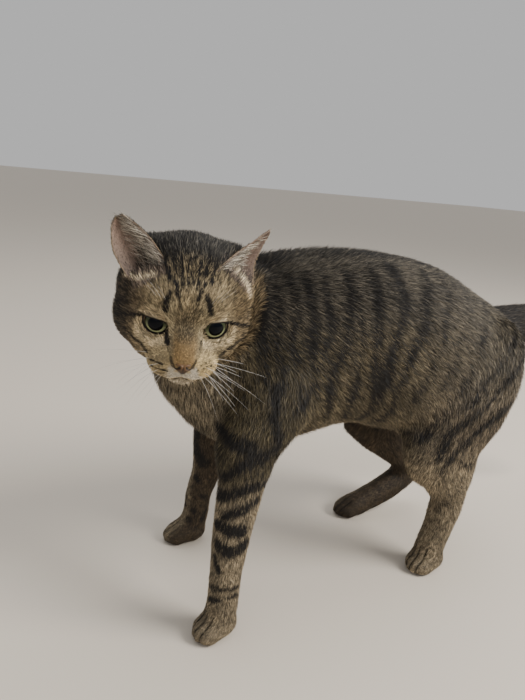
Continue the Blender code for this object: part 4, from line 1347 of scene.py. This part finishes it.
def earTufts(way, seed):
    # velvet on the back, pale hairs that sweep out across the hollow, and a fringe along the edges
    points, triangles, shares = earParts[way]
    left = way > 0
    t, a, inner = (shares[key][triangles].mean(axis=1) for key in ("t", "a", "inner"))
    medial = -way * a / earShape["round"]
    front = inner > 0.99
    sweep = front * ease(0.92, 0.6, t) * ease(-0.35 if left else -0.05, 0.65, medial) * ease(0.03, 0.12, t)
    bright = (1.7, 1.35) if left else (1.0, 1.0)      # the left one faces the light
    # how many to the square millimetre, length, width, lift, lean, tone, gain, dark share, painted shade deep
    # inside
    kinds = (
        (5.0 * ((inner < 0.01) & (t < 0.93)), 2.6, 0.36, 12, (0, 0, 1.0), "earBack", 1.0, 0.45, 0),
        (3.0 * front * ease(0.98, 0.9, t), 2.2, 0.26, 12, (way * 0.3, 0, 1.0), "concha", bright[0], 0.3, 0.4),
        (2.0 * sweep, 9.5, 0.2, 16, (way * 0.75, -0.05, 0.9), "earHair", bright[1], 0.1, 0.45),
        (3.0 * ((inner > 0.01) & (inner < 0.99)), 1.6, 0.28, 24, (0, -0.4, 1.0), "pad", 1.0, 0.3, 0))
    out = []
    for k, (many, length, width, lift, lean, tone, gain, dark, hollowShade) in enumerate(kinds):
        roots, chosen = scattered(points, triangles, many * 1e6, seed + k)[:2]
        facing = unit(normalsOf(points, triangles)[triangles[chosen]].mean(axis=1))
        middle = 0.5 * (earEdge(way, "medial", t[chosen]) + earEdge(way, "lateral", t[chosen]))
        middle = fromHead(middle - 0.004 * earSpin(way)[:, 1])
        outward = np.sign(((roots - middle) * facing).sum(axis=1)) * np.where(inner[chosen] > 0.5, -1, 1)
        ones = np.ones(len(roots))
        hairWay = headSpin @ earSpin(way) @ np.array(lean) * ones[:, None]
        made = tufts(roots, facing * outward[:, None], hairWay, length / 1000 * ones, width / 1000 * ones,
                     lift * ones, seed + 10 + k)
        # deep is painted shade in the hollow near the foot, less on the left ear, which faces the light
        deep = ease(0.45, 0.12, t[chosen]) * ease(0.8, 0.2, medial[chosen]) * (0.4 if left else 1.0)
        shade = dark + hollowShade * deep
        colours = tuftColours(tones[tone] * gain * ones[:, None], shade, shade, seed + 20 + k)
        across = 0.25 + 0.5 * left + 0.12 * a[chosen] / earShape["round"]
        out.append((*made, colours, tuftUv(np.stack([across, 0.02 + 0.96 * t[chosen]], axis=1))))
    return out


def makeEarFur():
    # both ears' tufts as one piece
    points, faces, colours, uv = joined(earTufts(-1, 900) + earTufts(1, 940))
    piece = meshObject("coatEars", points, faces, colours, finishes["fur"], uv)
    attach(piece, "root")
    print("coat: coatEars", len(faces), "triangles")


makeEarFur()


def whiskerTubes(starts, ways, bends, lengths, radii):
    # tapering three-sided tubes: each bends by its own vector with the square of the way along it
    steps = 14
    t = np.linspace(0, 1, steps)[None, :, None]
    line = starts[:, None] + ways[:, None] * lengths[:, None, None] * t + bends[:, None] * t ** 2
    tangent = unit(np.gradient(line, axis=1))
    side = unit(np.cross(tangent, np.array((0.3, 0.2, 1.0))))[:, :, None]
    up = np.cross(tangent, side[:, :, 0])[:, :, None]
    angle = (np.arange(3) * 2 * math.pi / 3)[:, None]
    thick = radii[:, None, None, None] * (1 - t[..., None]) ** 0.8 + 0.00001
    ring = line[:, :, None] + thick * (side * np.cos(angle) + up * np.sin(angle))
    first = steps * 3 * np.arange(len(starts))[:, None, None]
    return ring.reshape(-1, 3), halved((gridFaces(steps, 3)[None] + first).reshape(-1, 4))


# lengths and radii in millimetres; farShare shortens the right side's
whiskerLook = {"reach": 62, "radius": 0.11, "browRadius": 0.06, "farShare": 0.72,
               "horn": (0.82, 0.8, 0.76, 1)}
padRows = ((-19.5, -14.0, 3), (-22.2, -14.5, 4), (-24.8, -13.5, 4), (-27.2, -11.5, 3))      # z, y, how many


def makeWhiskers():
    # four rows of whiskers on each pad, and a few over each eye; worked out in head axes, in millimetres
    rng = np.random.default_rng(81)
    rows = []
    for way in (-1, 1):
        for row, (z, y, count) in enumerate(padRows):
            for k in range(count):
                back = k / max(count - 1, 1)
                start = (way * (10.5 + 8 * back), y + 8.5 * back, z + 0.8 * back)
                drop = -0.1 - 0.26 * row + rng.normal(0, 0.05)
                lean = (way * (1.0 - 0.1 * row), -0.35 + 0.55 * back + rng.normal(0, 0.06), drop)
                reach = (whiskerLook["reach"] - 4 * row - 14 * (1 - back)) * rng.uniform(0.85, 1.08)
                bend = (0.0, 10 + 4 * rng.uniform(), -12 - 6 * rng.uniform())
                reach = reach if way > 0 else reach * whiskerLook["farShare"]
                rows.append((*start, *lean, *bend, reach, whiskerLook["radius"]))
        for k in range(3):
            rows.append((way * (13 + 2.6 * k), -1 + 1.4 * k, 14 + 1.2 * k, way * (0.25 + 0.2 * k),
                         -0.3 + 0.05 * k, 0.95, way * 4, 6, -2, 17 + 3 * (k % 2), whiskerLook["browRadius"]))
    table = np.array(rows)
    start, lean, bend = (table[:, k:k + 3] for k in (0, 3, 6))
    points, faces = whiskerTubes(mm(start), unit(lean), mm(bend), mm(table[:, 9]), mm(table[:, 10]))
    return fromHead(points), faces


def whiskerMaterial():
    # plain pale horn
    made, tree, shader = newMaterial("whisker")
    setInputs(tree, shader, {"Base Color": whiskerLook["horn"], "Roughness": 0.35})
    return made


whiskers = meshObject("whiskers", *makeWhiskers(), None, whiskerMaterial())
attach(whiskers, "root")
print("whiskers made")


studio = {"floor": (0.68, 0.61, 0.52, 1), "sky": (0.9, 0.9, 0.9, 1), "skyPower": 0.6}
lamps = {
    "key": {"at": (0.9, 1.0, 1.3), "size": 0.9, "power": 40, "colour": (1.0, 0.97, 0.92)},
    "fill": {"at": (1.4, -1.1, 0.9), "size": 1.6, "power": 3, "colour": (0.95, 0.97, 1.0)},
    "top": {"at": (-0.3, 0.1, 1.9), "size": 1.4, "power": 10, "colour": (1.0, 1.0, 1.0)},
}


def stageFloor():
    # one wide plain square
    mesh = bpy.data.meshes.new("floor")
    mesh.from_pydata([(-30, -30, 0), (30, -30, 0), (30, 30, 0), (-30, 30, 0)], [], [(0, 1, 2, 3)])
    made, tree, shader = newMaterial("paleFloor")
    setInputs(tree, shader, {"Base Color": studio["floor"], "Roughness": 0.7})
    mesh.materials.append(made)
    inScene("floor", mesh)


def areaLight(name, at, size, power, colour):
    # a round lamp turned towards the cat's middle
    light = bpy.data.lights.new(name, "AREA")
    light.shape = "DISK"
    light.size = size
    light.energy = power
    light.color = colour
    lamp = inScene(name, light)
    lamp.location = at
    lamp.rotation_mode = "QUATERNION"
    lamp.rotation_quaternion = (Vector((0, 0, 0.15)) - Vector(at)).to_track_quat("-Z", "Y")


view = {"at": (0.3828, -0.1497, 0.325), "turn": 63.18, "down": 16.2, "roll": 5.24, "lens": 29.62}


def stageCamera():
    # turned round the upright, then down, then rolled
    camera = inScene("camera", bpy.data.cameras.new("camera"))
    camera.data.lens = view["lens"]
    camera.data.sensor_width = 36.0
    camera.data.clip_start = 0.01
    spin = (Matrix.Rotation(math.radians(view["turn"]), 4, "Z")
            @ Matrix.Rotation(math.radians(90 - view["down"]), 4, "X")
            @ Matrix.Rotation(math.radians(view["roll"]), 4, "Z"))
    camera.matrix_world = Matrix.Translation(np.array(view["at"]) + toFrame) @ spin
    bpy.context.scene.camera = camera


def stageWorld():
    # an even pale sky
    world = bpy.data.worlds.new("studio")
    world.use_nodes = True
    setInputs(world.node_tree, world.node_tree.nodes["Background"],
              {"Color": studio["sky"], "Strength": studio["skyPower"]})
    bpy.context.scene.world = world


stageFloor()
stageWorld()
for name, lamp in lamps.items():
    areaLight(name, **lamp)
stageCamera()
